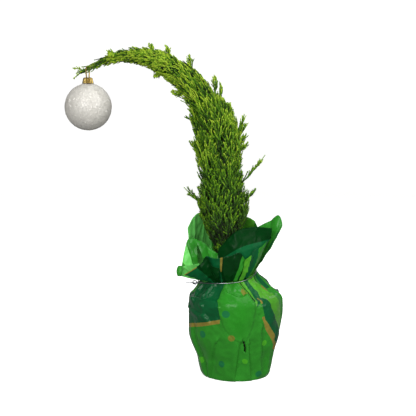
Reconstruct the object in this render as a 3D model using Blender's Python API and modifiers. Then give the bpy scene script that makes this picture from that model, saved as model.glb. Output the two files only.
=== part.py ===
"""Potted cypress: a small columnar cypress whose top is bent over like a crook.

A nursery pot filled with compost stands inside a cup of printed gift film. A thin
wire ties the film round its neck, and above the wire the sheet opens into a collar
of flaps. The stem rises out of the compost, bends over to the left and carries a
glitter bauble on a wire loop. Metres, +Z up, origin at the centre of the underside.
"""
import math
import random

import bmesh
import bpy
import numpy as np
from mathutils import Matrix, Vector

# Pot, compost and the gap that neighbouring solids keep.
CLEAR = 0.0003
FILM = 0.0008
POT_BASE_RADIUS = 0.0415
POT_RIM_RADIUS = 0.0570
POT_TOP = 0.1030
POT_WALL = 0.0016
POT_LIP_HEIGHT = 0.0080
POT_LIP_STEP = 0.0012
SOIL_TOP = 0.0920
SOIL_MOUND = 0.0020
SOIL_SLOPE_SHARE = 0.7
TURN_STEPS = 32

# Neck of the film, where the wire ties it: a ring that is tipped up to the right.
NECK_X = -0.0110
NECK_Z = 0.1295
NECK_RADIUS = 0.0350
NECK_SLOPE_X = 0.21
NECK_SLOPE_Y = 0.07
NECK_TWIST = 0.15
LAYER_STEP = 0.00115
NECK_PLEATS = 13
NECK_PLEAT_DEPTH = 0.0022
SHOULDER_BEND = 1.3

# Side of the film cup from the foot to the shoulder: height, radius on the left, on the right.
FILM_SIDE = [
    (0.0035, 0.0450, 0.0450),
    (0.0265, 0.0498, 0.0498),
    (0.0420, 0.0565, 0.0535),
    (0.0540, 0.0602, 0.0560),
    (0.0780, 0.0605, 0.0596),
    (0.0960, 0.0604, 0.0598),
    (0.1050, 0.0596, 0.0592),
]
FOOT_RADIUS = 0.0433
FOOT_INNER_RADIUS = 0.0300
FILM_COLUMNS = 48
SHOULDER_ROWS = 4
SIDE_FOLDS = 9
SIDE_FOLD_DEPTH = 0.0014
SIDE_FOLD_LEAN = 5.0

# Curl at the left end of the film's edge: a roll that stands on the neck's left side.
CURL_FOOT = (-0.0727, -0.0228, 0.1330)
CURL_RUN = (0.0010, 0.0020, 0.0125)
CURL_RADII = (0.0030, 0.0046)
CURL_TURN = (math.radians(20), math.radians(310))
CURL_STEPS = 12

# Wire tie: once round the neck, with a tail at each end.
WIRE_RADIUS = 0.0006
TIE_PITCH = 0.0020
TIE_STEPS = 36
TIE_START = math.radians(196)
TIE_FIRST_TAIL = [(-0.0655, -0.0100, 0.1205), (-0.0560, -0.0110, 0.1200)]
TIE_LAST_TAIL = [(-0.0520, -0.0155, 0.1245), (-0.0570, -0.0170, 0.1240)]

# Stem and crown: X, Z and the crown's radius there, from the compost to the hanging tip.
STEM_ROUTE = [
    (-0.0050, SOIL_TOP + SOIL_MOUND + CLEAR, 0.000),
    (-0.0088, 0.1300, 0.008),
    (-0.0142, 0.1760, 0.018),
    (-0.0156, 0.2213, 0.030),
    (-0.0183, 0.2600, 0.0256),
    (-0.0209, 0.2920, 0.0295),
    (-0.0245, 0.3220, 0.0310),
    (-0.0360, 0.3525, 0.0285),
    (-0.0590, 0.3808, 0.0225),
    (-0.0818, 0.3972, 0.0180),
    (-0.1095, 0.4097, 0.0120),
    (-0.1400, 0.4132, 0.0082),
    (-0.1680, 0.4060, 0.0058),
    (-0.1845, 0.3968, 0.0040),
    (-0.1938, 0.3925, 0.0030),
]
STEM_BASE_RADIUS = 0.0040
STEM_TIP_RADIUS = 0.0008
ROOT_FLARE = 0.0025
FLARE_LENGTH = 0.0060
STEM_SIDES_LEVEL = 1
STEM_STEPS = 56
FLARE_MARKS = [0, 0.0025, 0.006, 0.011, 0.018]

# Foliage masses: tiers of shoots that lean outwards along the stem.
FOLIAGE_START = 0.0260
LOOP_CLEARANCE = 0.0035
SHOOT_SLOPE = 1.7
CORE_SHARE = 0.84
CORE_BOW = 0.07
CORE_LEAST = 0.0012
CORE_STEP = math.radians(30)
SECTOR_SLIT = 0.0005
TIER_SLIT = 0.0006
STRAY_SLOPE = 0.9
TIERS = 9
TIER_SHRINK = 0.93
SECTORS_LOW = 3
SECTORS_HIGH = 2
LOW_TIERS = 4
SHOOT_SPACING = 0.0180
SHOOT_RADIUS = 0.0021
SHOOT_TIP_SHARE = 0.55
SHOOT_JITTER = 0.25
SHOOT_TURN_JITTER = 0.3
ROOT_DEPTH = 0.6
FORK_SHARES = (0.5, 0.65)
TWIG_ROOM = 0.0025
TWIG_SWING = 0.0150
TWIG_TURN = 0.42
TWIG_LENGTH = 0.36
TWIG_END = 0.92
TWIG_THICKNESS = 0.75
TIP_SPREAD = (1.0, 1.15)
SLIM_SHARE = 0.35
FULL_REACH = 0.030
STRAY_BORDER = math.radians(9)
SEED = 41

# Shoots that stand out of the outline: X and Z of the tip, and degrees turned to the back.
STRAY_TIPS = [
    (0.0366, 0.2857, 0), (0.0244, 0.2430, 0), (0.0161, 0.3222, 0), (-0.0187, 0.3783, 0),
    (-0.0600, 0.4097, 0), (-0.0897, 0.4234, 0), (-0.1098, 0.4241, 0), (-0.1625, 0.4177, 0),
    (-0.0666, 0.2436, 0), (-0.0606, 0.3033, 0), (-0.0633, 0.3332, 0), (-0.0844, 0.3648, 0),
    (-0.1052, 0.3871, 0),
]
TIP_FORK = [(-0.2066, 0.3953), (-0.2068, 0.3825)]
FORK_RADIUS = 0.0011
FORK_LENGTH = 0.0022
FORK_BED = 0.0008
FORK_SIDESTEP = 0.0015
LEAF_SHARE = 0.28
LEAF_RISE = 0.0012

# Bauble, its cap and the loop that hangs on the stem.
BAUBLE_X = -0.1885
BAUBLE_Z = 0.3470
BAUBLE_RADIUS = 0.0297
BAUBLE_WALL = 0.0010
BAUBLE_NECK_RADIUS = 0.0042
BAUBLE_NECK_HEIGHT = 0.0050
CAP_RADIUS = 0.0064
CAP_TOP_RADIUS = 0.0050
CAP_HEIGHT = 0.0078
CAP_WALL = 0.0006
CAP_BEVEL = 0.0008
CAP_CROWN = 0.0002
CAP_FLUTES = 12
CAP_FLUTE_SHARE = 0.04
BAUBLE_STEPS = 24
BAUBLE_ARC_STEPS = 10
LOOP_RADIUS = 0.0005
LOOP_HALF_WIDTH = 0.0030
LOOP_TURN = math.radians(40)
LOOP_SLACK = 0.0006
LOOP_FOOT_SHARE = 0.75
LOOP_STEPS = 14


def linear(hex_colour):
    """sRGB hex text to a linear colour, by the sRGB transfer curve."""
    parts = [int(hex_colour[i:i + 2], 16) / 255 for i in (1, 3, 5)]
    return [c / 12.92 if c <= 0.04045 else ((c + 0.055) / 1.055) ** 2.4 for c in parts] + [1]


def plain_material(name, hex_colour, roughness, metallic=0.0):
    """A Principled material of one colour."""
    material = bpy.data.materials.new(name)
    material.use_nodes = True
    shader = material.node_tree.nodes["Principled BSDF"]
    shader.inputs["Base Color"].default_value = linear(hex_colour)
    shader.inputs["Roughness"].default_value = roughness
    shader.inputs["Metallic"].default_value = metallic
    return material


def add_object(name, mesh, material, collection):
    """Put a mesh in the collection as a named object with one material."""
    thing = bpy.data.objects.new(name, mesh)
    mesh.materials.clear()
    mesh.materials.append(material)
    collection.objects.link(thing)
    return thing


def smooth(thing, angle=35):
    """Shade smooth, with edges sharper than the angle kept crisp."""
    thing.data.shade_smooth()
    thing.data.set_sharp_from_angle(angle=math.radians(angle))


def turned(name, profile, material, collection, steps=TURN_STEPS):
    """Turn a profile of (radius, height) points about Z with a Screw modifier."""
    mesh = bpy.data.meshes.new(name)
    edges = [(i, i + 1) for i in range(len(profile) - 1)]
    mesh.from_pydata([(r, 0, z) for r, z in profile], edges, [])
    thing = add_object(name, mesh, material, collection)
    screw = thing.modifiers.new("turn", "SCREW")
    screw.steps = steps
    screw.render_steps = steps
    screw.use_merge_vertices = True
    screw.merge_threshold = 0.00001
    return thing


def as_mesh(thing):
    """Turn an object into a plain mesh object in place, with its caps welded."""
    graph = bpy.context.evaluated_depsgraph_get()
    mesh = bpy.data.meshes.new_from_object(thing.evaluated_get(graph))
    bm = bmesh.new()
    bm.from_mesh(mesh)
    bmesh.ops.remove_doubles(bm, verts=bm.verts, dist=0.000001)
    bmesh.ops.recalc_face_normals(bm, faces=bm.faces)
    bm.to_mesh(mesh)
    bm.free()
    solid = bpy.data.objects.new(thing.name, mesh)
    solid.matrix_world = thing.matrix_world.copy()
    name = thing.name
    for collection in list(thing.users_collection):
        collection.objects.link(solid)
    bpy.data.objects.remove(thing)
    solid.name = name
    return solid


def tube(name, points, radii, material, collection, level, cyclic=False):
    """A wire or limb: a poly curve with a round bevel, a radius at each point, and caps."""
    curve = bpy.data.curves.new(name, "CURVE")
    curve.dimensions = "3D"
    curve.bevel_depth = 1.0
    curve.bevel_resolution = level
    curve.use_fill_caps = not cyclic
    spline = curve.splines.new("POLY")
    spline.points.add(len(points) - 1)
    for point, place, radius in zip(spline.points, points, radii):
        point.co = (*place, 1)
        point.radius = radius
    spline.use_cyclic_u = cyclic
    thing = bpy.data.objects.new(name, curve)
    curve.materials.append(material)
    collection.objects.link(thing)
    return thing


def through(points, count):
    """Evenly spaced points along a smooth Catmull-Rom curve through the given points."""
    given = np.array(points, float)
    padded = np.vstack([2 * given[0] - given[1], given, 2 * given[-1] - given[-2]])
    t = np.linspace(0, 1, 24, endpoint=False)[:, None]
    runs = []
    for a, b, c, d in zip(padded[:-3], padded[1:-2], padded[2:-1], padded[3:]):
        runs.append(0.5 * (2 * b + (c - a) * t + (2 * a - 5 * b + 4 * c - d) * t ** 2
                           + (3 * b - a - 3 * c + d) * t ** 3))
    fine = np.vstack(runs + [given[-1:]])
    along = np.concatenate([[0], np.cumsum(np.linalg.norm(np.diff(fine[:, :2], axis=0), axis=1))])
    marks = np.linspace(0, along[-1], count)
    return marks, np.column_stack([np.interp(marks, along, column) for column in fine.T])


class Crown:
    """The stem's line and the crown round it, in stem coordinates.

    A place is given by the distance along the stem, the distance out from it, and
    the angle round it: 0 is the outer side of the bend and 90 degrees the back.
    """

    def __init__(self):
        self.along, table = through(STEM_ROUTE, 400)
        self.x, self.z, self.reach = table.T
        self.length = self.along[-1]
        self.tx = np.gradient(self.x, self.along)
        self.tz = np.gradient(self.z, self.along)

    def centre(self, s):
        """Point on the stem's line."""
        return Vector((np.interp(s, self.along, self.x), 0, np.interp(s, self.along, self.z)))

    def outward(self, s, angle):
        """Unit direction away from the stem at the angle round it."""
        tangent = Vector((np.interp(s, self.along, self.tx), 0, np.interp(s, self.along, self.tz)))
        tangent.normalize()
        side = Vector((tangent.z, 0, -tangent.x))
        return side * math.cos(angle) + Vector((0, 1, 0)) * math.sin(angle)

    def place(self, s, r, angle):
        """World point of stem coordinates."""
        return self.centre(s) + self.outward(s, angle) * r

    def radius(self, s):
        """The crown's radius at a distance along the stem."""
        return float(np.interp(s, self.along, self.reach))

    def outline(self, w):
        """The crown's radius where the slanting cone that starts at w meets its outline."""
        r = self.radius(w)
        for _ in range(4):
            r = self.radius(w + SHOOT_SLOPE * r)
        return r

    def stem_radius(self, s):
        """The stem tapers evenly to its tip and flares at the compost."""
        taper = STEM_BASE_RADIUS + (STEM_TIP_RADIUS - STEM_BASE_RADIUS) * s / self.length
        return taper + ROOT_FLARE * math.exp(-max(s, 0) / FLARE_LENGTH)

    def beside(self, x):
        """Distance along the stem of its hanging end where it passes an X."""
        return float(np.interp(-x, -self.x, self.along))

    def locate(self, point):
        """Stem coordinates of a world point: its nearest place on the stem, distance, angle."""
        nearest = int(np.argmin((self.x - point.x) ** 2 + (self.z - point.z) ** 2))
        s = float(self.along[nearest])
        offset = point - self.centre(s)
        angle = math.atan2(offset.y, offset.dot(self.outward(s, 0.0)))
        return s, offset.length, angle


def neck_height(x, y):
    """Height of the wire round the neck: a tipped plane with a slight twist."""
    across = x - NECK_X
    return NECK_Z + NECK_SLOPE_X * across + (NECK_SLOPE_Y + NECK_TWIST * across / NECK_RADIUS) * y


def make_pot(collection):
    """Moulded nursery pot: a tapered cup with a lip, standing on the film."""
    foot = FILM + CLEAR
    floor = foot + POT_WALL
    lip = POT_TOP - POT_LIP_HEIGHT
    below_lip = POT_RIM_RADIUS - POT_LIP_STEP
    profile = [
        (0, floor),
        (POT_BASE_RADIUS - POT_WALL, floor),
        (below_lip - POT_WALL, POT_TOP),
        (POT_RIM_RADIUS, POT_TOP),
        (POT_RIM_RADIUS, lip),
        (below_lip, lip),
        (POT_BASE_RADIUS, floor),
        (POT_BASE_RADIUS - POT_WALL, foot),
        (0, foot),
    ]
    pot = turned("pot", profile, plain_material("Pot polypropylene", "#3a322c", 0.55), collection)
    smooth(pot)


def make_soil(collection):
    """Moist potting compost that fills the pot to below its lip."""
    bottom = FILM + CLEAR + POT_WALL + CLEAR
    inner_base = POT_BASE_RADIUS - POT_WALL - 2 * CLEAR
    inner_rim = POT_RIM_RADIUS - POT_LIP_STEP - POT_WALL - 2 * CLEAR
    share = (SOIL_TOP - bottom) / (POT_TOP - bottom)
    top_radius = inner_base + (inner_rim - inner_base) * share
    flat = STEM_BASE_RADIUS * 4
    profile = [
        (0, SOIL_TOP + SOIL_MOUND),
        (flat, SOIL_TOP + SOIL_MOUND),
        (top_radius * SOIL_SLOPE_SHARE, SOIL_TOP),
        (top_radius, SOIL_TOP),
        (inner_base, bottom),
        (0, bottom),
    ]
    soil = turned("soil", profile, plain_material("Potting compost", "#2d2018", 0.95), collection)
    smooth(soil)


def film_ring(row, angle):
    """One point of the film cup: the side rows, then the shoulder drawn in to the neck."""
    towards_right = (1 + math.cos(angle)) / 2
    side_rows = len(FILM_SIDE)
    if row < side_rows:
        z, left, right = FILM_SIDE[row]
        radius = left + (right - left) * towards_right
        swell = math.sin(math.pi * min(z / FILM_SIDE[-1][0], 1)) ** 2
        wave = abs(math.sin(SIDE_FOLDS * angle / 2 + SIDE_FOLD_LEAN * z / FILM_SIDE[-1][0])) - 0.6
        radius += SIDE_FOLD_DEPTH * swell * wave
        return Vector((radius * math.cos(angle), radius * math.sin(angle), z))
    t = (row - side_rows + 1) / SHOULDER_ROWS
    z0, left, right = FILM_SIDE[-1]
    shoulder = left + (right - left) * towards_right
    wave = abs(math.sin(NECK_PLEATS * angle / 2)) - 0.5
    radius = shoulder + (NECK_RADIUS - shoulder) * t + NECK_PLEAT_DEPTH * wave * t
    x = NECK_X * t + radius * math.cos(angle)
    y = radius * math.sin(angle)
    z = z0 + (neck_height(x, y) - CLEAR - z0) * t ** SHOULDER_BEND
    return Vector((x, y, z))


def make_film_cup(material, collection):
    """Printed film round the pot: a flat foot, a creased side and a gathered neck."""
    bm = bmesh.new()
    angles = [2 * math.pi * i / FILM_COLUMNS for i in range(FILM_COLUMNS)]
    centre = bm.verts.new((0, 0, 0))
    rings = [[bm.verts.new((r * math.cos(a), r * math.sin(a), 0)) for a in angles]
             for r in (FOOT_INNER_RADIUS, FOOT_RADIUS)]
    for row in range(len(FILM_SIDE) + SHOULDER_ROWS):
        rings.append([bm.verts.new(film_ring(row, a)) for a in angles])
    for i in range(FILM_COLUMNS):
        j = (i + 1) % FILM_COLUMNS
        bm.faces.new((centre, rings[0][j], rings[0][i]))
        for low, high in zip(rings, rings[1:]):
            bm.faces.new((low[i], low[j], high[j], high[i]))
    mesh = bpy.data.meshes.new("wrap_body")
    bm.to_mesh(mesh)
    bm.free()
    cup = add_object("wrap_body", mesh, material, collection)
    wall = cup.modifiers.new("film", "SOLIDIFY")
    wall.thickness = FILM
    wall.offset = -1
    smooth(cup)


def make_flap(name, turn, layer, rails, bulge, material, collection, columns=8, rows=5):
    """A flap of the collar: a sheet from the neck ring out through its rails to its edge.

    The root runs round the neck between two angles, in the outermost layer of film or
    one further in. Each rail is a few points across the flap; the sheet is a smooth
    curve along each rail and from rail to rail.
    """
    start, end = (math.radians(a) for a in turn)
    root_radius = NECK_RADIUS - FILM / 2 - layer * LAYER_STEP
    root = []
    for i in range(columns + 1):
        angle = start + (end - start) * i / columns
        x = NECK_X + root_radius * math.cos(angle)
        y = root_radius * math.sin(angle)
        root.append((x, y, neck_height(x, y) + CLEAR))
    lines = [np.array(root)]
    lines += [through(rail, columns + 1)[1] for rail in rails]
    if len(lines) == 2:
        middle = (lines[0] + lines[1]) / 2
        away = middle - np.array([NECK_X, 0, 0])
        away[:, 2] = 0
        away /= np.linalg.norm(away, axis=1)[:, None]
        lines.insert(1, middle + away * bulge)
    stack = np.array(lines)
    sheet = np.array([through(stack[:, i], rows + 1)[1] for i in range(columns + 1)])
    bm = bmesh.new()
    grid = [[bm.verts.new(point) for point in line] for line in sheet]
    for left, right in zip(grid, grid[1:]):
        for i in range(rows):
            bm.faces.new((left[i], right[i], right[i + 1], left[i + 1]))
    mesh = bpy.data.meshes.new(name)
    bm.to_mesh(mesh)
    bm.free()
    flap = add_object(name, mesh, material, collection)
    wall = flap.modifiers.new("film", "SOLIDIFY")
    wall.thickness = FILM
    wall.offset = 0
    smooth(flap, 60)


def make_collar(material, dark, collection):
    """The sheet above the wire: ten flaps round the neck, as they fall in the photo."""
    make_flap("wrap_flap_left_tall", (196, 110), 0,
              [[(-0.0620, 0.004, 0.191), (-0.0555, 0.012, 0.204), (-0.0467, 0.020, 0.209),
                (-0.0385, 0.030, 0.203), (-0.0300, 0.037, 0.184)]], 0.005, material, collection)
    make_flap("wrap_flap_left_fold", (222, 201), 1,
              [[(-0.0690, -0.015, 0.148), (-0.0655, -0.010, 0.165), (-0.0615, -0.006, 0.178),
                (-0.0500, -0.006, 0.178)]], 0.003, material, collection)
    make_flap("wrap_flap_left_low", (208, 227), 0,
              [[(-0.0690, -0.0215, 0.1340), (-0.0695, -0.0205, 0.1430), (-0.0600, -0.0265, 0.1470),
                (-0.0480, -0.0330, 0.1500)]], 0.002, material, collection)
    make_flap("wrap_flap_front_left", (230, 255), 0,
              [[(-0.0670, -0.030, 0.135), (-0.0460, -0.040, 0.151), (-0.0387, -0.041, 0.161),
                (-0.0320, -0.043, 0.150), (-0.0225, -0.043, 0.146)]], 0.003, dark, collection)
    make_flap("wrap_flap_front", (246, 290), 1,
              [[(-0.0390, -0.034, 0.161), (-0.0280, -0.038, 0.158), (-0.0187, -0.042, 0.160),
                (-0.0060, -0.044, 0.163), (0.0034, -0.044, 0.1665), (0.0115, -0.040, 0.155)]],
              0.002, material, collection)
    make_flap("wrap_flap_front_right", (294, 328), 0,
              [[(0.0120, -0.043, 0.156), (0.0185, -0.040, 0.163), (0.0240, -0.036, 0.169),
                (0.0320, -0.030, 0.172), (0.0390, -0.022, 0.177)]], 0.002, material, collection)
    make_flap("wrap_flap_right_leaf", (258, 338), 2,
              [[(-0.0240, -0.026, 0.158), (-0.0120, -0.031, 0.162), (0.0070, -0.036, 0.166),
                (0.0260, -0.031, 0.169), (0.0430, -0.012, 0.180)],
               [(-0.0225, -0.023, 0.168), (-0.0060, -0.028, 0.187), (0.0080, -0.025, 0.194),
                (0.0270, -0.017, 0.195), (0.0465, -0.006, 0.192)]], 0.0, dark, collection, 10)
    make_flap("wrap_flap_right_outer", (334, 386), 0,
              [[(0.0575, 0.003, 0.186), (0.0605, 0.008, 0.194), (0.0560, 0.015, 0.206),
                (0.0440, 0.019, 0.198), (0.0300, 0.025, 0.189)]], 0.002, material, collection)
    make_flap("wrap_flap_back_right", (28, 72), 0,
              [[(0.0330, 0.026, 0.182), (0.0250, 0.038, 0.196), (0.0130, 0.044, 0.199),
                (0.0020, 0.045, 0.184)]], 0.004, material, collection)
    make_flap("wrap_flap_back", (74, 107), 0,
              [[(-0.0010, 0.045, 0.180), (-0.0100, 0.052, 0.193), (-0.0210, 0.050, 0.190),
                (-0.0300, 0.042, 0.176)]], 0.004, material, collection)


def make_curl(material, collection):
    """The left end of the film edge, rolled into a small curl."""
    inner, outer = CURL_RADII
    start, end = CURL_TURN
    bm = bmesh.new()
    rows = []
    for k in (0, 1):
        row = []
        for i in range(CURL_STEPS + 1):
            angle = start + (end - start) * i / CURL_STEPS
            r = inner + (outer - inner) * i / CURL_STEPS
            offset = Vector((r * math.cos(angle), r * math.sin(angle), 0))
            row.append(bm.verts.new(Vector(CURL_FOOT) + Vector(CURL_RUN) * k + offset))
        rows.append(row)
    for i in range(CURL_STEPS):
        bm.faces.new((rows[0][i], rows[0][i + 1], rows[1][i + 1], rows[1][i]))
    mesh = bpy.data.meshes.new("wrap_curl")
    bm.to_mesh(mesh)
    bm.free()
    curl = add_object("wrap_curl", mesh, material, collection)
    wall = curl.modifiers.new("film", "SOLIDIFY")
    wall.thickness = FILM
    wall.offset = 0
    smooth(curl, 60)


def make_tie(collection):
    """Thin wire once round the neck, its two ends twisted off to the left."""
    steel = plain_material("Tie wire steel", "#b9bcc0", 0.3, 1.0)
    ring = NECK_RADIUS + NECK_PLEAT_DEPTH * 0.5 + FILM + WIRE_RADIUS
    points = list(TIE_FIRST_TAIL)
    for i in range(TIE_STEPS + 1):
        angle = TIE_START + 2 * math.pi * i / TIE_STEPS
        x = NECK_X + ring * math.cos(angle)
        y = ring * math.sin(angle)
        points.append((x, y, neck_height(x, y) - TIE_PITCH / 2 + TIE_PITCH * i / TIE_STEPS))
    points += TIE_LAST_TAIL
    tube("tie", points, [WIRE_RADIUS] * len(points), steel, collection, 1)


def make_stem(crown, collection):
    """The stem, whole from its flat cut on the compost to its tip under the bauble's loop."""
    bark = plain_material("Cypress bark", "#6b5136", 0.85)
    rest = np.linspace(FLARE_MARKS[-1], crown.length, STEM_STEPS - len(FLARE_MARKS) + 1)
    marks = FLARE_MARKS[:-1] + list(rest)
    points = [crown.centre(s) for s in marks]
    points[1].x = points[0].x
    tube("trunk", points, [crown.stem_radius(s) for s in marks], bark, collection, STEM_SIDES_LEVEL)


def shoot(name, start, end, base_radius, tip_radius, group):
    """One straight three-sided shoot, tapering from start to end."""
    run = end - start
    turn = run.to_track_quat("Z", "Y").to_matrix().to_4x4()
    place = Matrix.Translation((start + end) / 2) @ turn
    bm = bmesh.new()
    bmesh.ops.create_cone(bm, cap_ends=True, segments=3, radius1=base_radius,
                          radius2=tip_radius, depth=run.length, matrix=place)
    mesh = bpy.data.meshes.new(name)
    bm.to_mesh(mesh)
    bm.free()
    thing = bpy.data.objects.new(name, mesh)
    group.objects.link(thing)
    return thing


# Section of a core: share of the tier's length and of the core's depth, round from its foot.
CORE_BAND = [(0.0, 0.0), (0.0, 0.35), (0.0, 0.70), (0.18, 0.95), (0.55, 1.0), (0.87, 0.93),
             (1.0, 0.70), (1.0, 0.35), (1.0, 0.0), (0.75, 0.0), (0.5, 0.0), (0.25, 0.0)]
CORE_END = [(0, 1, 11), (1, 2, 3), (1, 3, 11), (3, 4, 11), (4, 10, 11), (4, 9, 10), (4, 5, 9),
            (5, 7, 9), (5, 6, 7), (7, 8, 9)]


def core_lump(name, crown, space, group):
    """Dense middle of a mass: a closed band swept round the stem inside its space."""
    low, high, start, end = space
    steps = round((end - start) / CORE_STEP)
    inner = crown.stem_radius(low) + 2.5 * CLEAR
    span = high - low
    bm = bmesh.new()
    rings = []
    for i in range(steps + 1):
        angle = start + (end - start) * i / steps
        bow = 1 - CORE_BOW + CORE_BOW * math.sin(math.pi * i / steps)
        inset = SECTOR_SLIT / 2 * ((i == 0) - (i == steps))
        ring = []
        for share, reach in CORE_BAND:
            w = low + span * share
            outer = max(CORE_SHARE * crown.outline(w), inner + CORE_LEAST)
            r = inner + (outer * bow - inner) * reach
            s = w + SHOOT_SLOPE * r
            across = crown.outward(s, angle + math.pi / 2)
            ring.append(bm.verts.new(crown.place(s, r, angle) + across * inset))
        rings.append(ring)
    count = len(CORE_BAND)
    for a, b in zip(rings, rings[1:]):
        for k in range(count):
            j = (k + 1) % count
            bm.faces.new((a[k], b[k], b[j], a[j]))
    for ring in (rings[0], rings[-1]):
        for corners in CORE_END:
            bm.faces.new([ring[k] for k in corners])
    bmesh.ops.recalc_face_normals(bm, faces=bm.faces)
    mesh = bpy.data.meshes.new(name)
    bm.to_mesh(mesh)
    bm.free()
    thing = bpy.data.objects.new(name, mesh)
    group.objects.link(thing)
    return thing


def keeps_inside(crown, space, foot, head, thick, reach=math.inf):
    """True where a straight shoot stays in its mass's space, clear of the borders and the stem.

    Beyond the reach there are no neighbours, so only the part nearer the stem is looked at.
    """
    low, high, start, end = space
    for step in range(5):
        margin = thick * (1 - (1 - SHOOT_TIP_SHARE) * step / 4) + CLEAR
        s, r, angle = crown.locate(foot.lerp(head, step / 4))
        while angle < start:
            angle += 2 * math.pi
        if r > reach:
            break
        w = s - SHOOT_SLOPE * r
        rise = margin * math.hypot(1, SHOOT_SLOPE)
        turn = margin / r
        if not (low + rise < w < high - rise and start + turn < angle < end - turn):
            return False
        if r < crown.stem_radius(s) + margin:
            return False
    return True


def join_shoots(name, base, group):
    """Join a stem or core with the shoots of its group into one closed body."""
    group.objects.unlink(base)
    bpy.context.scene.collection.objects.link(base)
    if not group.objects:
        raise RuntimeError(f"no shoots grow in {name}")
    join = base.modifiers.new("join", "BOOLEAN")
    join.operation = "UNION"
    join.operand_type = "COLLECTION"
    join.collection = group
    for solver in ("EXACT", "MANIFOLD"):
        join.solver = solver
        graph = bpy.context.evaluated_depsgraph_get()
        mesh = bpy.data.meshes.new_from_object(base.evaluated_get(graph))
        if keep_largest(mesh):
            break
    bpy.data.objects.remove(base)
    for piece in list(group.objects):
        bpy.data.objects.remove(piece)
    bpy.data.collections.remove(group)
    mesh.name = name
    return mesh


def grow_mass(name, crown, space, strays, material, collection, rng):
    """One foliage mass: its core and the branching shoots that stand out of it, joined."""
    group = bpy.data.collections.new(name + "_shoots")
    bpy.context.scene.collection.children.link(group)
    low, high, start, end = space
    base = core_lump(name + "_core", crown, space, group)
    reach = crown.outline((low + high) / 2)
    core = CORE_SHARE * reach
    rows = max(1, round((high - low) / SHOOT_SPACING))
    columns = max(2, round((end - start) * core / SHOOT_SPACING))
    radius = SHOOT_RADIUS * min(1.0, SLIM_SHARE + reach / FULL_REACH)
    rise = (radius + CLEAR) * math.hypot(1, SHOOT_SLOPE)
    thin = crown.stem_radius(low)
    root_r = thin + ROOT_DEPTH * (core - thin)
    shoots = []
    for row in range(rows):
        for column in range(columns):
            up = row + 0.5 + rng.uniform(-SHOOT_JITTER, SHOOT_JITTER)
            w = low + (high - low) * up / rows
            round_stem = column + 0.5 + rng.uniform(-SHOOT_TURN_JITTER, SHOOT_TURN_JITTER)
            angle = start + (end - start) * round_stem / columns
            w = min(max(w, low + 1.1 * rise), high - 1.1 * rise)
            tip_r = crown.outline(w) * rng.uniform(*TIP_SPREAD)
            shoots.append(((w + SHOOT_SLOPE * root_r, root_r, angle),
                           (w + SHOOT_SLOPE * tip_r, tip_r, angle), rng.uniform(*FORK_SHARES),
                           rng.choice((-1, 1)), math.inf))
    for s, r, angle in strays:
        shoots.append(((s - STRAY_SLOPE * (r - root_r), root_r, angle), (s, r, angle),
                       FORK_SHARES[1], 1, reach * TIP_SPREAD[1]))
    for root, tip, share, side, limit in shoots:
        foot, head = crown.place(*root), crown.place(*tip)
        if not keeps_inside(crown, space, foot, head, radius, limit):
            continue
        shoot(name + "_shoot", foot, head, radius, radius * SHOOT_TIP_SHARE, group)
        out = tip[1] - root[1]
        r1 = root[1] + out * min(share + TWIG_LENGTH, TWIG_END)
        s1 = root[0] + (tip[0] - root[0]) * (r1 - root[1]) / out
        swing = side * TWIG_TURN * min(out, TWIG_SWING) / r1
        twig_tip = crown.place(s1, r1, tip[2] + swing)
        fork = foot.lerp(head, share)
        thick = radius * TWIG_THICKNESS
        has_room = tip[1] - core > TWIG_ROOM
        if has_room and keeps_inside(crown, space, fork, twig_tip, thick, limit):
            shoot(name + "_twig", fork, twig_tip, thick, 0.0, group)
    mesh = join_shoots(name, base, group)
    return add_object(name, mesh, material, collection)


def keep_largest(mesh):
    """Drop loose scraps, so that the mesh is one body, and say whether it is closed."""
    bm = bmesh.new()
    bm.from_mesh(mesh)
    bmesh.ops.remove_doubles(bm, verts=bm.verts, dist=0.000001)
    left = set(bm.faces)
    bodies = []
    while left:
        body, front = set(), [left.pop()]
        while front:
            face = front.pop()
            body.add(face)
            for edge in face.edges:
                for other in edge.link_faces:
                    if other in left:
                        left.discard(other)
                        front.append(other)
        bodies.append(body)
    bodies.sort(key=len)
    for body in bodies[:-1]:
        bmesh.ops.delete(bm, geom=list(body), context="FACES")
    closed = all(len(edge.link_faces) == 2 for edge in bm.edges)
    bm.to_mesh(mesh)
    bm.free()
    return closed


def mass_spaces(crown):
    """Share the crown out: slanting tiers along the stem, each cut into sectors round it."""
    lengths = [TIER_SHRINK ** i for i in range(TIERS)]
    last = crown.beside(BAUBLE_X) - LOOP_CLEARANCE
    last -= SHOOT_SLOPE * crown.radius(last)
    scale = (last - FOLIAGE_START) / sum(lengths)
    spaces = []
    low = FOLIAGE_START
    for tier, length in enumerate(lengths):
        high = low + length * scale
        sectors = SECTORS_LOW if tier < LOW_TIERS else SECTORS_HIGH
        turn = -2 * CORE_STEP + CORE_STEP * tier if tier < LOW_TIERS else CORE_STEP * (tier % 2 - 3)
        for sector in range(sectors):
            start = turn + 2 * math.pi * sector / sectors
            spaces.append((f"foliage_{tier + 1:02d}_{'abc'[sector]}",
                           (low, high, start, start + 2 * math.pi / sectors)))
        low = high
    return spaces


def strays_in(crown, space):
    """The stray shoots whose feet fall in a mass's space, turned a little clear of its border."""
    low, high, start, end = space
    found = []
    for x, z, turn in STRAY_TIPS:
        s, r, angle = crown.locate(Vector((x, 0, z)))
        foot_r = ROOT_DEPTH * crown.radius(s - STRAY_SLOPE * r / 2)
        foot_w = s - STRAY_SLOPE * (r - foot_r) - SHOOT_SLOPE * foot_r
        angle += math.radians(turn)
        while angle < start:
            angle += 2 * math.pi
        if low < foot_w < high and angle < end:
            found.append((s, r, min(max(angle, start + STRAY_BORDER), end - STRAY_BORDER)))
    return found


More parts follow.
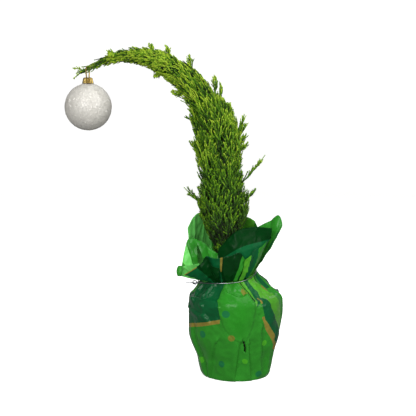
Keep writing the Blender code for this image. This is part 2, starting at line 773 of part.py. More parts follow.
def make_foliage(crown, collection):
    """All the foliage masses, darker low down and yellower towards the tip."""
    rng = random.Random(SEED)
    greens = [plain_material(f"Cypress foliage {i + 1}", colour, 0.6)
              for i, colour in enumerate(("#456f24", "#54852a", "#669c2c"))]
    gap = TIER_SLIT / 2 * math.hypot(1, SHOOT_SLOPE)
    for name, (low, high, start, end) in mass_spaces(crown):
        space = (low + gap, high - gap, start, end)
        tier = int(name.split("_")[1]) - 1
        green = greens[min(2, tier // 3)]
        grow_mass(name, crown, space, strays_in(crown, space), green, collection, rng)


def make_tip(crown, collection):
    """The stem's end divides into two green twigs past the bauble's loop."""
    group = bpy.data.collections.new("tip_shoots")
    bpy.context.scene.collection.children.link(group)
    end = crown.centre(crown.length)
    onward = (end - crown.centre(crown.length - FORK_LENGTH)).normalized()
    start = end + onward * CLEAR
    fork = start + onward * FORK_LENGTH
    base = shoot("foliage_tip_core", start, fork + onward * FORK_BED, FORK_RADIUS,
                 FORK_RADIUS * 0.9, group)
    for x, z in TIP_FORK:
        tip = Vector((x, math.copysign(FORK_SIDESTEP, z - end.z), z))
        shoot("foliage_tip_twig", fork - onward * FORK_BED, tip, FORK_RADIUS * 0.9,
              FORK_RADIUS * 0.35, group)
        for share, side in ((0.35, 1), (0.6, -1)):
            foot = fork.lerp(tip, share)
            lift = Vector((0, FORK_LENGTH, LEAF_RISE)) * side
            leaf = foot + (tip - fork) * LEAF_SHARE + lift
            shoot("foliage_tip_leaf", foot, leaf, FORK_RADIUS * 0.6, 0.0, group)
    mesh = join_shoots("foliage_tip", base, group)
    add_object("foliage_tip", mesh, plain_material("Cypress tip", "#77a62f", 0.6), collection)


def make_bauble(collection):
    """Blown plastic ball with a short open neck, thin walled."""
    steps = BAUBLE_ARC_STEPS
    inner = BAUBLE_RADIUS - BAUBLE_WALL
    neck_in = BAUBLE_NECK_RADIUS - BAUBLE_WALL
    neck_top = BAUBLE_Z + BAUBLE_RADIUS + BAUBLE_NECK_HEIGHT

    def arc(radius, neck):
        first = math.asin(neck / radius)
        turns = [first + (math.pi - first) * i / steps for i in range(steps + 1)]
        return [(radius * math.sin(t), BAUBLE_Z + radius * math.cos(t)) for t in turns]

    inside_wall = arc(inner, neck_in)
    outside_wall = arc(BAUBLE_RADIUS, BAUBLE_NECK_RADIUS)
    inside_wall[-1] = (0, BAUBLE_Z - inner)
    outside_wall[-1] = (0, BAUBLE_Z - BAUBLE_RADIUS)
    profile = (list(reversed(inside_wall)) + [(neck_in, neck_top), (BAUBLE_NECK_RADIUS, neck_top)]
               + outside_wall)
    white = plain_material("Bauble glitter", "#e6e3de", 0.35)
    ball = turned("bauble", profile, white, collection, BAUBLE_STEPS)
    ball.location.x = BAUBLE_X
    smooth(ball)


def make_cap(crown, collection):
    """Pressed metal cap, fluted round its skirt, with the wire loop that hangs on the stem."""
    gold = plain_material("Cap gold foil", "#b8913c", 0.3, 1.0)
    seat = BAUBLE_Z + math.sqrt(BAUBLE_RADIUS ** 2 - CAP_RADIUS ** 2) + CLEAR
    top = seat + CAP_HEIGHT
    profile = [
        (0, top - CAP_WALL),
        (CAP_TOP_RADIUS - CAP_WALL, top - 2 * CAP_WALL),
        (CAP_RADIUS - CAP_WALL, seat),
        (CAP_RADIUS, seat),
        (CAP_TOP_RADIUS, top - CAP_BEVEL),
        (CAP_TOP_RADIUS - CAP_BEVEL, top),
        (0, top + CAP_CROWN),
    ]
    cap = turned("cap_shell", profile, gold, collection, 2 * CAP_FLUTES)
    cap.location.x = BAUBLE_X
    bpy.context.view_layer.update()
    cap = as_mesh(cap)
    for corner in cap.data.vertices:
        turn = math.atan2(corner.co.y, corner.co.x)
        flute = 1 + CAP_FLUTE_SHARE * math.cos(CAP_FLUTES * turn) * (corner.co.z < top - CAP_WALL)
        corner.co.x *= flute
        corner.co.y *= flute
    stem_s = crown.beside(BAUBLE_X)
    hang = crown.centre(stem_s).z + crown.stem_radius(stem_s) + LOOP_RADIUS + LOOP_SLACK
    foot = top - CAP_WALL / 2
    points = []
    for i in range(LOOP_STEPS + 1):
        turn = math.pi * i / LOOP_STEPS
        across = LOOP_HALF_WIDTH * math.cos(turn)
        points.append((across, hang - LOOP_HALF_WIDTH + LOOP_HALF_WIDTH * math.sin(turn)))
    legs = LOOP_HALF_WIDTH * LOOP_FOOT_SHARE
    points = [(legs, foot)] + points + [(-legs, foot)]
    route = [(BAUBLE_X + a * math.sin(LOOP_TURN), a * math.cos(LOOP_TURN), z) for a, z in points]
    loop = as_mesh(tube("cap_loop", route, [LOOP_RADIUS] * len(route), gold, collection, 1))
    join = cap.modifiers.new("join", "BOOLEAN")
    join.operation = "UNION"
    join.object = loop
    graph = bpy.context.evaluated_depsgraph_get()
    mesh = bpy.data.meshes.new_from_object(cap.evaluated_get(graph))
    keep_largest(mesh)
    bpy.data.objects.remove(loop)
    whole = add_object("bauble_cap", mesh, gold, collection)
    whole.matrix_world = cap.matrix_world.copy()
    bpy.data.objects.remove(cap)
    smooth(whole)


for thing in list(bpy.data.objects):
    bpy.data.objects.remove(thing)
plant = bpy.data.collections.new("potted_cypress")
bpy.context.scene.collection.children.link(plant)
film = plain_material("Printed film green", "#2d8a2a", 0.25)
film_dark = plain_material("Printed film dark green", "#135c38", 0.25)
stem = Crown()
make_pot(plant)
make_soil(plant)
make_film_cup(film, plant)
make_collar(film, film_dark, plant)
make_curl(film, plant)
make_tie(plant)
make_stem(stem, plant)
make_foliage(stem, plant)
make_tip(stem, plant)
make_bauble(plant)
make_cap(stem, plant)
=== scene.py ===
"""Looks of the potted cypress: every surface that shows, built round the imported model.

A dwarf cypress with its leading shoot bent over under a glitter bauble, in a nursery
pot that is wrapped in tied, printed film. Metres, +Z up, origin under the pot.
"""
import math

import bpy
import numpy as np
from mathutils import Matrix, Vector


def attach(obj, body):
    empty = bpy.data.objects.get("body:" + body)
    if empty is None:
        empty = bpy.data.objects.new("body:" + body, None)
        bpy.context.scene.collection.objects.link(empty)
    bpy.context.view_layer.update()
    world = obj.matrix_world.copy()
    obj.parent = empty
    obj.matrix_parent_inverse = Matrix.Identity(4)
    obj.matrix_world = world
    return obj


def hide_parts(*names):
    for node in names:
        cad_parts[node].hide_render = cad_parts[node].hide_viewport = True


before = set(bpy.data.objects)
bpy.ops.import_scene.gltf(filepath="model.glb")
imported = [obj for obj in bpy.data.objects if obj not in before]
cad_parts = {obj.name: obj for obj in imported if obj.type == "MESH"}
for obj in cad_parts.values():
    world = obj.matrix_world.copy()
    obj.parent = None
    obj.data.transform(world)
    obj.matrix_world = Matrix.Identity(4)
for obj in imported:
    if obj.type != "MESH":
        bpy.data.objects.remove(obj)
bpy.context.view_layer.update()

# Nursery pot: injection-moulded recycled polypropylene, near black with a soft gloss. It stands
# inside the film, so only its lip shows, from above.


def linear_colour(hex_colour):
    """sRGB hex text to linear RGBA, by the sRGB transfer curve."""
    parts = [int(hex_colour[i:i + 2], 16) / 255 for i in (1, 3, 5)]
    return [c / 12.92 if c <= 0.04045 else ((c + 0.055) / 1.055) ** 2.4 for c in parts] + [1]


def fill_inputs(material, node, inputs):
    """Give a node's inputs their values, or link them to the sockets that stand for values."""
    for key, value in inputs.items():
        if isinstance(value, bpy.types.NodeSocket):
            material.node_tree.links.new(value, node.inputs[key])
        else:
            node.inputs[key].default_value = value


def add_node(material, kind, inputs=None, **settings):
    """Add a shader node, with its settings and what its inputs are given."""
    made = material.node_tree.nodes.new("ShaderNode" + kind)
    for key, value in settings.items():
        setattr(made, key, value)
    fill_inputs(material, made, inputs or {})
    return made


def new_material(name, inputs):
    """A material whose Principled shader has these inputs."""
    material = bpy.data.materials.new(name)
    material.use_nodes = True
    material.node_tree.nodes.clear()
    shader = add_node(material, "BsdfPrincipled")
    add_node(material, "OutputMaterial", {"Surface": shader.outputs["BSDF"]})
    set_inputs(material, inputs)
    return material


def set_inputs(material, inputs):
    """Give the Principled shader of a material values or links."""
    shader = next(n for n in material.node_tree.nodes if n.type == "BSDF_PRINCIPLED")
    fill_inputs(material, shader, inputs)


def add_noise(material, size, detail=2):
    """Values of a noise over the object whose grains are about the given size, in metres."""
    place = add_node(material, "TexCoord").outputs["Object"]
    noise = add_node(material, "TexNoise", {"Vector": place, "Scale": 1 / size, "Detail": detail})
    return noise.outputs["Fac"]


def add_bump(material, height, depth, strength=1.0):
    """Shade a material as if its surface stood up by the height values times the depth, in metres."""
    bump = add_node(material, "Bump", {"Height": height, "Strength": strength, "Distance": depth})
    set_inputs(material, {"Normal": bump.outputs["Normal"]})


# Moulded polypropylene: a fine spark-eroded grain of about 0.6 mm gives it a soft gloss.
moulded = new_material("Moulded polypropylene", {"Base Color": linear_colour("#2e2a27"), "Roughness": 0.5})
add_bump(moulded, add_noise(moulded, size=0.0006), depth=0.0001, strength=0.3)
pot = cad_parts["pot"]
pot.data.materials.clear()
pot.data.materials.append(moulded)


# Compost: moist peat-free potting mix that fills the pot to below its lip, with chips of bark and
# fibre on top. It is loose, so its top is uneven and the chips lie at all angles.
SOIL_RADIUS = 0.0515
SOIL_TOP = 0.0920
SOIL_MOUND = 0.0020
SOIL_DIP = 0.0006
SOIL_RIM_DEPTH = 0.0100
LUMP_SIZE = 0.0060
LUMP_HEIGHT = 0.0005
CRUMB_SIZE = 0.0020
CRUMB_HEIGHT = 0.0003
CHIP_COUNT = 900
CHIP_SIZE = (0.0008, 0.0026)
CHIP_SHAPE = [1, 0.6, 0.35]
CHIP_MARGIN = 0.0030
CHIP_SINK = 0.0004


def waves(points, size, seed, count=16):
    """Smooth random heights, about -1 to 1: a mean of sine waves in random directions,
    whose lengths are spread round the given size."""
    rng = np.random.default_rng(seed)
    ways = rng.normal(size=(count, 3))
    ways /= np.linalg.norm(ways, axis=1)[:, None]
    ways *= 2 * math.pi / (size * rng.uniform(0.7, 1.5, count))[:, None]
    phases = rng.uniform(0, 2 * math.pi, count)
    return np.sin(points @ ways.T + phases).sum(-1) / math.sqrt(count / 2) * 0.6


def mesh_piece(name, corners, faces, materials, levels=None, smooth=True):
    """A mesh object of corners and arrays of faces, each array with one number of corners a face.
    Levels gives each face's place in the list of materials."""
    mesh = bpy.data.meshes.new(name)
    mesh.vertices.add(len(corners))
    mesh.vertices.foreach_set("co", np.asarray(corners, np.float32).ravel())
    sizes = np.concatenate([np.full(len(f), f.shape[1]) for f in faces])
    loops = np.concatenate([f.ravel() for f in faces]).astype(np.int32)
    mesh.loops.add(len(loops))
    mesh.loops.foreach_set("vertex_index", loops)
    mesh.polygons.add(len(sizes))
    mesh.polygons.foreach_set("loop_start", np.concatenate([[0], np.cumsum(sizes)[:-1]]).astype(np.int32))
    mesh.polygons.foreach_set("use_smooth", np.full(len(sizes), smooth))
    for material in materials:
        mesh.materials.append(material)
    if levels is not None:
        mesh.polygons.foreach_set("material_index", np.asarray(levels, np.int32))
    mesh.update(calc_edges=True)
    mesh.validate()
    piece = bpy.data.objects.new(name, mesh)
    bpy.context.scene.collection.objects.link(piece)
    return piece


def grid_faces(rows, columns, around=False, flip=False):
    """Quads of a grid of corners that is stored row by row; around joins its last column to its first."""
    row, column = np.meshgrid(np.arange(rows - 1), np.arange(columns if around else columns - 1),
                              indexing="ij")
    along = (column + 1) % columns
    quads = np.stack([row * columns + column, row * columns + along, (row + 1) * columns + along,
                      (row + 1) * columns + column], -1).reshape(-1, 4)
    return quads[:, ::-1] if flip else quads


def fan_faces(centre, first, columns, flip=False):
    """Triangles from one corner to a closed ring of corners, which closes a pole."""
    ring = first + np.arange(columns)
    fan = np.stack([np.full(columns, centre), ring, first + (np.arange(columns) + 1) % columns], -1)
    return fan[:, ::-1] if flip else fan


def put_on(piece, slot, *nodes):
    """The piece rides with the plant and stands in for CAD nodes, which it hides. The slot is not used."""
    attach(piece, "root")
    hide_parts(*nodes)
    return piece


def all_round(columns):
    """A row of even angles, once round from 0."""
    return np.linspace(0, 2 * math.pi, columns, endpoint=False)[None, :]


def soil_height(radius):
    """The mound's height at distances from its middle: a parabola that falls to its rim."""
    return SOIL_TOP + SOIL_MOUND * (1 - (radius / SOIL_RADIUS) ** 2)


def compost_top(rows=40, columns=120):
    """Polar grid: height is the mound's with lumps and crumbs on it, and the rim turns down."""
    radius = np.linspace(0.0005, SOIL_RADIUS, rows)[:, None]
    angle = all_round(columns)
    x, y = radius * np.cos(angle), radius * np.sin(angle)
    flat = np.stack([x, y, np.zeros_like(x)], -1)
    z = soil_height(radius) - SOIL_DIP
    z = z + LUMP_HEIGHT * waves(flat, LUMP_SIZE, 3) + CRUMB_HEIGHT * waves(flat, CRUMB_SIZE, 4)
    grid = np.stack([x, y, z], -1)
    below = SOIL_TOP - SOIL_RIM_DEPTH
    skirt = grid[-1] * [1, 1, 0] * 0.998 + [0, 0, below]
    corners = np.vstack([grid.reshape(-1, 3), skirt, [[0, 0, z[0].mean()]], [[0, 0, below]]])
    count = rows * columns
    return corners, [grid_faces(rows + 1, columns, True), fan_faces(count + columns, 0, columns),
                     fan_faces(count + columns + 1, count, columns, True)]


def bark_chips(seed=8):
    """Each chip is an octahedron stretched three ways and turned at random, half sunk in the compost."""
    rng = np.random.default_rng(seed)
    octahedron = np.array([(1, 0, 0), (0, 1, 0), (-1, 0, 0), (0, -1, 0), (0, 0, 1), (0, 0, -1)])
    facets = np.array([(0, 1, 4), (1, 2, 4), (2, 3, 4), (3, 0, 4), (1, 0, 5), (2, 1, 5), (3, 2, 5),
                       (0, 3, 5)])
    radius = (SOIL_RADIUS - CHIP_MARGIN) * np.sqrt(rng.uniform(0.02, 1, CHIP_COUNT))
    angle = rng.uniform(0, 2 * math.pi, CHIP_COUNT)
    places = np.stack([radius * np.cos(angle), radius * np.sin(angle), soil_height(radius) - CHIP_SINK], -1)
    turns, _ = np.linalg.qr(rng.normal(size=(CHIP_COUNT, 3, 3)))
    turns *= np.sign(np.linalg.det(turns))[:, None, None]
    stretch = rng.uniform(*CHIP_SIZE, CHIP_COUNT)[:, None] * CHIP_SHAPE
    corners = np.einsum("nij,cj,nj->nci", turns, octahedron, stretch) + places[:, None]
    faces = (np.arange(CHIP_COUNT)[:, None, None] * len(octahedron) + facets).reshape(-1, 3)
    return corners.reshape(-1, 3), [faces]


def mixed(material, share, first, second, way="MIX"):
    """The value of two colours mixed by a share."""
    mix = add_node(material, "MixRGB", {"Fac": share, "Color1": first, "Color2": second}, blend_type=way)
    return mix.outputs["Color"]


# Moist compost: near-black brown, matt, with crumbs of about 1.5 mm in two browns.
compost = new_material("Potting compost", {"Roughness": 0.95})
crumbs = add_noise(compost, size=0.0015, detail=4)
browns = mixed(compost, crumbs, linear_colour("#1d1510"), linear_colour("#4a3526"))
set_inputs(compost, {"Base Color": browns})
add_bump(compost, crumbs, depth=0.0008)
chip_bark = new_material("Composted bark", {"Base Color": linear_colour("#4e3827"), "Roughness": 0.9})
put_on(mesh_piece("compost", *compost_top(), [compost]), "compost", "soil")
put_on(mesh_piece("bark_chips", *bark_chips(), [chip_bark], smooth=False), "compost", "soil")


# Film cup: one printed sheet of polypropylene wrap, set under the pot, folded up round it in broad
# pleats and gathered at the neck. Its print is flat inks: plain greens, dark strips, dots and gold.
# Light is painted on the lobe as a brighter green, and shade in some creases and hollows as deep green.
FILM = 0.0003
# Levels of the side: height, radius at the left and radius at the right.
FILM_SIDE = [
    (0.0000, 0.0433, 0.0433),
    (0.0035, 0.0450, 0.0450),
    (0.0265, 0.0498, 0.0498),
    (0.0420, 0.0565, 0.0535),
    (0.0540, 0.0602, 0.0560),
    (0.0780, 0.0605, 0.0596),
    (0.0960, 0.0604, 0.0598),
    (0.1050, 0.0596, 0.0592),
]
NECK_X = -0.0110
NECK_Z = 0.1295
NECK_RADIUS = 0.0350
NECK_SLOPE_X = 0.21
NECK_SLOPE_Y = 0.07
NECK_TWIST = 0.15
NECK_PLEATS = 13
NECK_PLEAT_DEPTH = 0.0022
NECK_GAP = 0.0003
SHOULDER_BEND = 1.3
# Places on the sheet are pairs: millimetres up it (side to 105, then shoulder to the neck at 139) and
# degrees round it, where -180 is the left, -90 the front and 0 the right.
FOOT_MIDDLE = -42
SIDE_TOP = 105
NECK_EDGE = 139
MM_A_DEGREE = 0.96
LOBE_LEFT = [(139.5, -91.0), (131.3, -104.2), (111.8, -114.8), (93.5, -113.2), (71.5, -104.5),
             (58.5, -92.5), (54.5, -81.5)]
LOBE_RIGHT = [(139.5, -72.0), (122.8, -66.2), (103.5, -66.5), (83.5, -69.2), (66.5, -74.0), (55.5, -78.8)]
STRIP_RIGHT = [(139.5, -56.5), (123.7, -56.5), (109.2, -61.3), (98.0, -66.0)]
DARK_RIGHT = [(139.5, -48.0), (122.8, -47.2), (110.5, -52.8)]
BAND_RIGHT = [(139.5, -38.2), (124.5, -40.0), (109.2, -45.5), (97.5, -43.8), (77.5, -31.3), (59.5, -11.2),
              (50.0, 4.0)]
BAND_LEFT = [(116.9, -54.8), (99.5, -57.5), (81.5, -52.2), (56.5, -32.0), (43.5, -17.0), (30.0, 0.0)]
GOLD_LEFT = [(86.0, -57.0), (84.5, -57.5), (66.5, -49.0), (47.5, -34.2), (36.0, -22.0)]
LIME_RIGHT = [(139.5, -22.0), (132.0, -27.0), (124.5, -27.0), (116.0, -20.0), (106.0, -24.0), (95.5, -21.0),
              (86.0, -12.0), (70.0, -4.0)]
STRIPE_LOW = [(62.0, -180.0), (63.5, -170.0), (72.5, -133.2), (78.5, -111.0)]
STRIPE_HIGH = [(67.5, -180.0), (68.5, -170.8), (77.5, -133.0), (83.5, -111.0)]
# Print, with painted light and shade among it: for each ink the pairs of lines that its bands lie between,
# and its dots with their radii.
BANDS = {
    # The lobe's bright green is painted light, where light falls on the raised lobe; it fades in towards the
    # lobe's middle.
    "painted_light_green": [(LOBE_LEFT, LOBE_RIGHT)],
    "ink_dark": [([(141, -180)], STRIPE_HIGH[:3] + [(83.5, -110.5), (93.5, -112.0), LOBE_LEFT[2],
                                                    LOBE_LEFT[1], (141, -93)]),
                 (STRIP_RIGHT, DARK_RIGHT), (BAND_LEFT, BAND_RIGHT[2:]),
                 ([(139.5, -16), (128.8, -21), (121, -18)], [(139.5, -3), (128.8, -3), (119, -10)])],
    "lime_ink_and_painted_sheen": [([(139.5, -70), (122.8, -65), (104, -66)], STRIP_RIGHT), (DARK_RIGHT, BAND_RIGHT[:3]),
                 (BAND_RIGHT, LIME_RIGHT)],
    # Three thin deep green lines along shoulder creases are painted shadow.
    "painted_shade_deep": [([(138.5, -66.8), (123, -63.8), (107, -66.4)], [(138.5, -64.6), (123, -62.2), (107, -65.2)]),
                 ([(138.5, -71.6), (123, -66.9), (110, -67.2)], [(138.5, -70.2), (123, -65.6), (110, -66.2)]),
                 ([(138.5, -24.2), (131, -28.4), (124, -28.4)], [(138.5, -21.4), (131, -26), (124, -26.6)])],
    "ink_gold": [(STRIPE_LOW[::-1], STRIPE_HIGH[::-1]), (GOLD_LEFT, [(86.0, -53.5)] + BAND_LEFT[2:]),
                 ([(115.5, -55.6), (103.5, -58.4)], [(115.5, -53.8), (103.5, -55.4)]),
                 ([(127, -26.5), (119, -25)], [(127, -22.5), (119, -21)])],
}
DOTS = {
    "dot_dark": [(91.5, -103.2, 4.6), (61.5, -136.2, 4.6), (23.5, -113.0, 4.4), (8.5, -52.0, 4.6)],
    "dot_lime": [(49.5, -49.0, 3.8), (22.5, -156.2, 4.4), (28.5, -78.2, 3.6), (82.0, -21.0, 3.8)],
    "dot_gold": [(60.5, -96.8, 4.2), (123.7, -70.8, 4.6)],
}
NO_INK = -9.0
# Relief: heights are metres, and widths are millimetres on the sheet. The lobe is stepped and crowned.
LOBE_STEP = 0.0013
LOBE_CROWN = 0.0016
LOBE_CROWN_WIDTH = 26
LOBE_CALM = 0.7
# Where one band of the sheet overlaps the next: the line, and the step up to its right.
OVERLAPS = [(STRIP_RIGHT, 0.0009), (DARK_RIGHT, -0.0007), (BAND_RIGHT, 0.0011), (LIME_RIGHT, -0.0008)]
STEP_WIDTH = 0.7
STEP_FADE = 15
# Folds down the side and on the shoulder: each is a narrow crease with a wider slope at either side.
FOLD_DEPTH = 0.0026
FOLDS = [
    [(51, -116.7), (28, -128.0), (3.5, -138.2)], [(51.5, -85.0), (5.5, -91.0)],
    [(50.5, -73.2), (30, -70.0), (4.5, -64.0)], [(68.5, -55.8), (40, -52.0), (12.5, -45.2)],
    [(60, -30.0), (8, -26.0)], [(62, -158.0), (6, -150.0)],
]
SHOULDER_FOLD_DEPTH = 0.0028
SHOULDER_FOLDS = [
    [(137, -120), (129, -126), (113, -134), (99.5, -134), (86, -129)], [(137, -150), (119, -158), (98, -152)],
    [(137, -112), (121, -121), (108, -138)], [(112, -170), (104, -145), (101, -120)],
    [(92, -168), (88, -140)], [(126, -96), (118, -84), (120, -74)], [(138, -70.5), (123, -66), (107, -67.5)],
    [(138, -60), (123, -59.5), (112, -61)], [(137, -23), (131, -27), (124, -27), (117, -22)],
]
CREASE_WIDTH = 1.3
FOLD_SLOPE = 1.5
FOLD_SLOPE_WIDTH = 6
SLIT = [(54.5, -81.5), (48.0, -79.4), (41.5, -78.5)]
SLIT_WIDTH = 1.9
SLIT_DEPTH = 0.0030
SLIT_LIP = 1.1
# Dents: size, depth and seed of each kind. They deepen from one level to another, up the sheet.
DENTS = [(0.036, 0.0014, 21), (0.014, 0.0007, 22)]
DENT_SHARE = (0.6, 1.4)
DENTS_DEEPEN = (60, 110)
GATHER_FROM = (112, 137)
GATHER_HEIGHT = 0.0008
GATHER_SIZE = 0.0090
# The film can't sink into the pot, least of all over its lip.
DEEPEST = 0.0026
DEEPEST_ON_LIP = 0.0008
LIP_BELOW = (84, 92)
LIP_ABOVE = (108, 116)
# Lap: the sheet lies over itself at either side of the pot, along a line that wanders as it goes up.
LAP_WANDER = 5
LAP_WAVE = 24
LAP_LEAN = 0.08
LAP_STEP = 0.0014
LAP_STEP_WIDTH = 0.6
LAP_FADE = 16
LAP_CALM = (0, 9)
LAP_RELIEF = 0.25
# Rows of the sheet under the pot, up its side and over its shoulder.
FOOT_ROWS, SIDE_ROWS, SHOULDER_ROWS = 8, 82, 40
# Levels are rounded off over this many millimetres to either side, between the foot and the neck.
ROUNDING = 5
ROUNDED_FROM = (20, 60)
ROUNDED_TO = (116, 130)
# The relief begins at the foot, and most of it is pulled flat where the tie holds the sheet.
RELIEF_FROM = (-3, 9)
TIED_WIDTH = 5
TIED_FLAT = 0.75


def unit(vectors):
    """Vectors cut to length 1."""
    return vectors / np.maximum(np.linalg.norm(vectors, axis=-1, keepdims=True), 1e-9)


def through(points, count, measured=2):
    """Distances along a smooth Catmull-Rom curve through the given points, and its points at even
    steps. The distances are measured on as many of the first columns as told."""
    given = np.array(points, float)
    padded = np.vstack([2 * given[0] - given[1], given, 2 * given[-1] - given[-2]])
    t = np.linspace(0, 1, 24, endpoint=False)[None, :, None]
    a, b, c, d = (padded[i:len(padded) - 3 + i, None] for i in range(4))
    fine = 0.5 * (2 * b + (c - a) * t + (2 * a - 5 * b + 4 * c - d) * t ** 2
                  + (3 * b - a - 3 * c + d) * t ** 3)
    fine = np.vstack([fine.reshape(-1, given.shape[1]), given[-1:]])
    steps = np.linalg.norm(np.diff(fine[:, :measured], axis=0), axis=1)
    along = np.concatenate([[0], np.cumsum(steps)])
    marks = np.linspace(0, along[-1], count)
    return marks, np.column_stack([np.interp(marks, along, column) for column in fine.T])


def neck_height(x, y):
    """Height of the tied neck: it tips up to the right and is twisted a little."""
    across = x - NECK_X
    return NECK_Z + NECK_SLOPE_X * across + (NECK_SLOPE_Y + NECK_TWIST * across / NECK_RADIUS) * y


def film_shape(up, turn):
    """World points of places on the sheet: flat foot disc, side rows mixed from left to right, and a
    shoulder that is drawn in to the pleated, tipped neck. Up is in mm, turn in radians."""
    right = (1 + np.cos(turn)) / 2
    marks, left_radius, right_radius = np.array(FILM_SIDE).T
    z = np.clip(up / 1000, FILM, marks[-1])
    side = np.interp(z, marks, left_radius) * (1 - right) + np.interp(z, marks, right_radius) * right
    t = np.clip((up - SIDE_TOP) / (NECK_EDGE - SIDE_TOP), 0, 1.05)
    pleat = NECK_PLEAT_DEPTH * (np.abs(np.sin(NECK_PLEATS * turn / 2 + 0.5)) - 0.5)
    radius = side + (NECK_RADIUS - side) * t + pleat * t ** 2 + np.minimum(up, 0) / 1000
    x = NECK_X * t + radius * np.cos(turn)
    y = radius * np.sin(turn)
    z = z + (neck_height(x, y) - NECK_GAP - marks[-1]) * t ** SHOULDER_BEND
    return np.stack([x, y, z], -1)


def in_mm(places):
    """Places on the sheet as flat millimetres: round it and up it."""
    places = np.array(places, float)
    return np.stack([places[:, 1] * MM_A_DEGREE, places[:, 0]], -1)


def to_line(points, line):
    """Distance of flat points to a line of straight parts, and the side they lie on: positive on the
    right of its direction."""
    best = np.full(points.shape[:-1], 1e9)
    side = np.ones(points.shape[:-1])
    for start, end in zip(line[:-1], line[1:]):
        run = end - start
        share = np.clip(((points - start) @ run) / (run @ run), 0, 1)
        gap = points - start - share[..., None] * run
        distance = np.linalg.norm(gap, axis=-1)
        nearer = distance < best
        across = run[1] * (points[..., 0] - start[0]) - run[0] * (points[..., 1] - start[1])
        side = np.where(nearer, np.sign(across) + (across == 0), side)
        best = np.minimum(best, distance)
    return best, side


def inside_by(points, outline):
    """Signed distance in mm to a closed outline, positive inside it, by the even-odd rule."""
    outline = np.vstack([outline, outline[:1]])
    distance, _ = to_line(points, outline)
    inside = np.zeros(points.shape[:-1], bool)
    for start, end in zip(outline[:-1], outline[1:]):
        crosses = (start[1] > points[..., 1]) != (end[1] > points[..., 1])
        if start[1] != end[1]:
            at = start[0] + (points[..., 1] - start[1]) * (end[0] - start[0]) / (end[1] - start[1])
            inside ^= crosses & (points[..., 0] < at)
    return np.where(inside, distance, -distance)


def between(points, left, right):
    """Signed distance to the band of the sheet between two lines that both run down it."""
    return inside_by(points, in_mm(left + right[::-1]))


def bell(distance, width):
    """1 at no distance, falling off as a bell curve of the given width."""
    return np.exp(-(distance / width) ** 2)


def smooth_step(value, low, high):
    """0 below low, 1 above high, and a cubic between them."""
    t = np.clip((value - low) / (high - low), 0, 1)
    return t * t * (3 - 2 * t)


def film_print(points):
    """Signed distances to each ink's shapes on the sheet, painted light and shade among them: the bands
    between its lines, and its dots.
    """
    inks = {ink: np.maximum.reduce([between(points, *band) for band in bands])
            for ink, bands in BANDS.items()}
    for ink, dots in DOTS.items():
        inks[ink] = np.maximum.reduce([radius - np.linalg.norm(points - [turn * MM_A_DEGREE, up], axis=-1)
                                       for up, turn, radius in dots])
    return inks


def film_relief(points, places):
    """Height of the sheet above its plain shape, in metres: the lobe lies on top, the bands beside it
    overlap like shingles, and folds run down the side, each a crease with one side raised and one sunk.
    Small dents with sharp ridges cover the rest, and fine waves gather towards the neck."""
    up = points[..., 1]
    lobe = between(points, LOBE_LEFT, LOBE_RIGHT)
    height = LOBE_STEP * smooth_step(lobe, -STEP_WIDTH, STEP_WIDTH)
    height += LOBE_CROWN * smooth_step(lobe, 0, LOBE_CROWN_WIDTH)
    for line, step in OVERLAPS:
        distance, side = to_line(points, in_mm(line))
        height += step * smooth_step(distance * side, -STEP_WIDTH, STEP_WIDTH) * bell(distance, STEP_FADE)
    for line in FOLDS + SHOULDER_FOLDS:
        depth = FOLD_DEPTH if line in FOLDS else SHOULDER_FOLD_DEPTH
        distance, side = to_line(points, in_mm(line))
        height -= depth * bell(distance, CREASE_WIDTH)
        slope = distance / FOLD_SLOPE_WIDTH * bell(distance, FOLD_SLOPE_WIDTH)
        height += depth * FOLD_SLOPE * slope * side
    height -= SLIT_DEPTH * bell(to_line(points, in_mm(SLIT))[0], SLIT_LIP)
    calm = 1 - LOBE_CALM * smooth_step(lobe, -1, 6)
    rough = DENT_SHARE[0] + (DENT_SHARE[1] - DENT_SHARE[0]) * smooth_step(up, *DENTS_DEEPEN)
    for size, depth, seed in DENTS:
        height -= depth * calm * rough * np.abs(waves(places, size, seed))
    height += GATHER_HEIGHT * smooth_step(up, *GATHER_FROM) * waves(places * [1, 1, 0.25], GATHER_SIZE, 23)
    on_lip = smooth_step(up, *LIP_BELOW) * (1 - smooth_step(up, *LIP_ABOVE))
    return np.maximum(height, -DEEPEST + (DEEPEST - DEEPEST_ON_LIP) * on_lip)


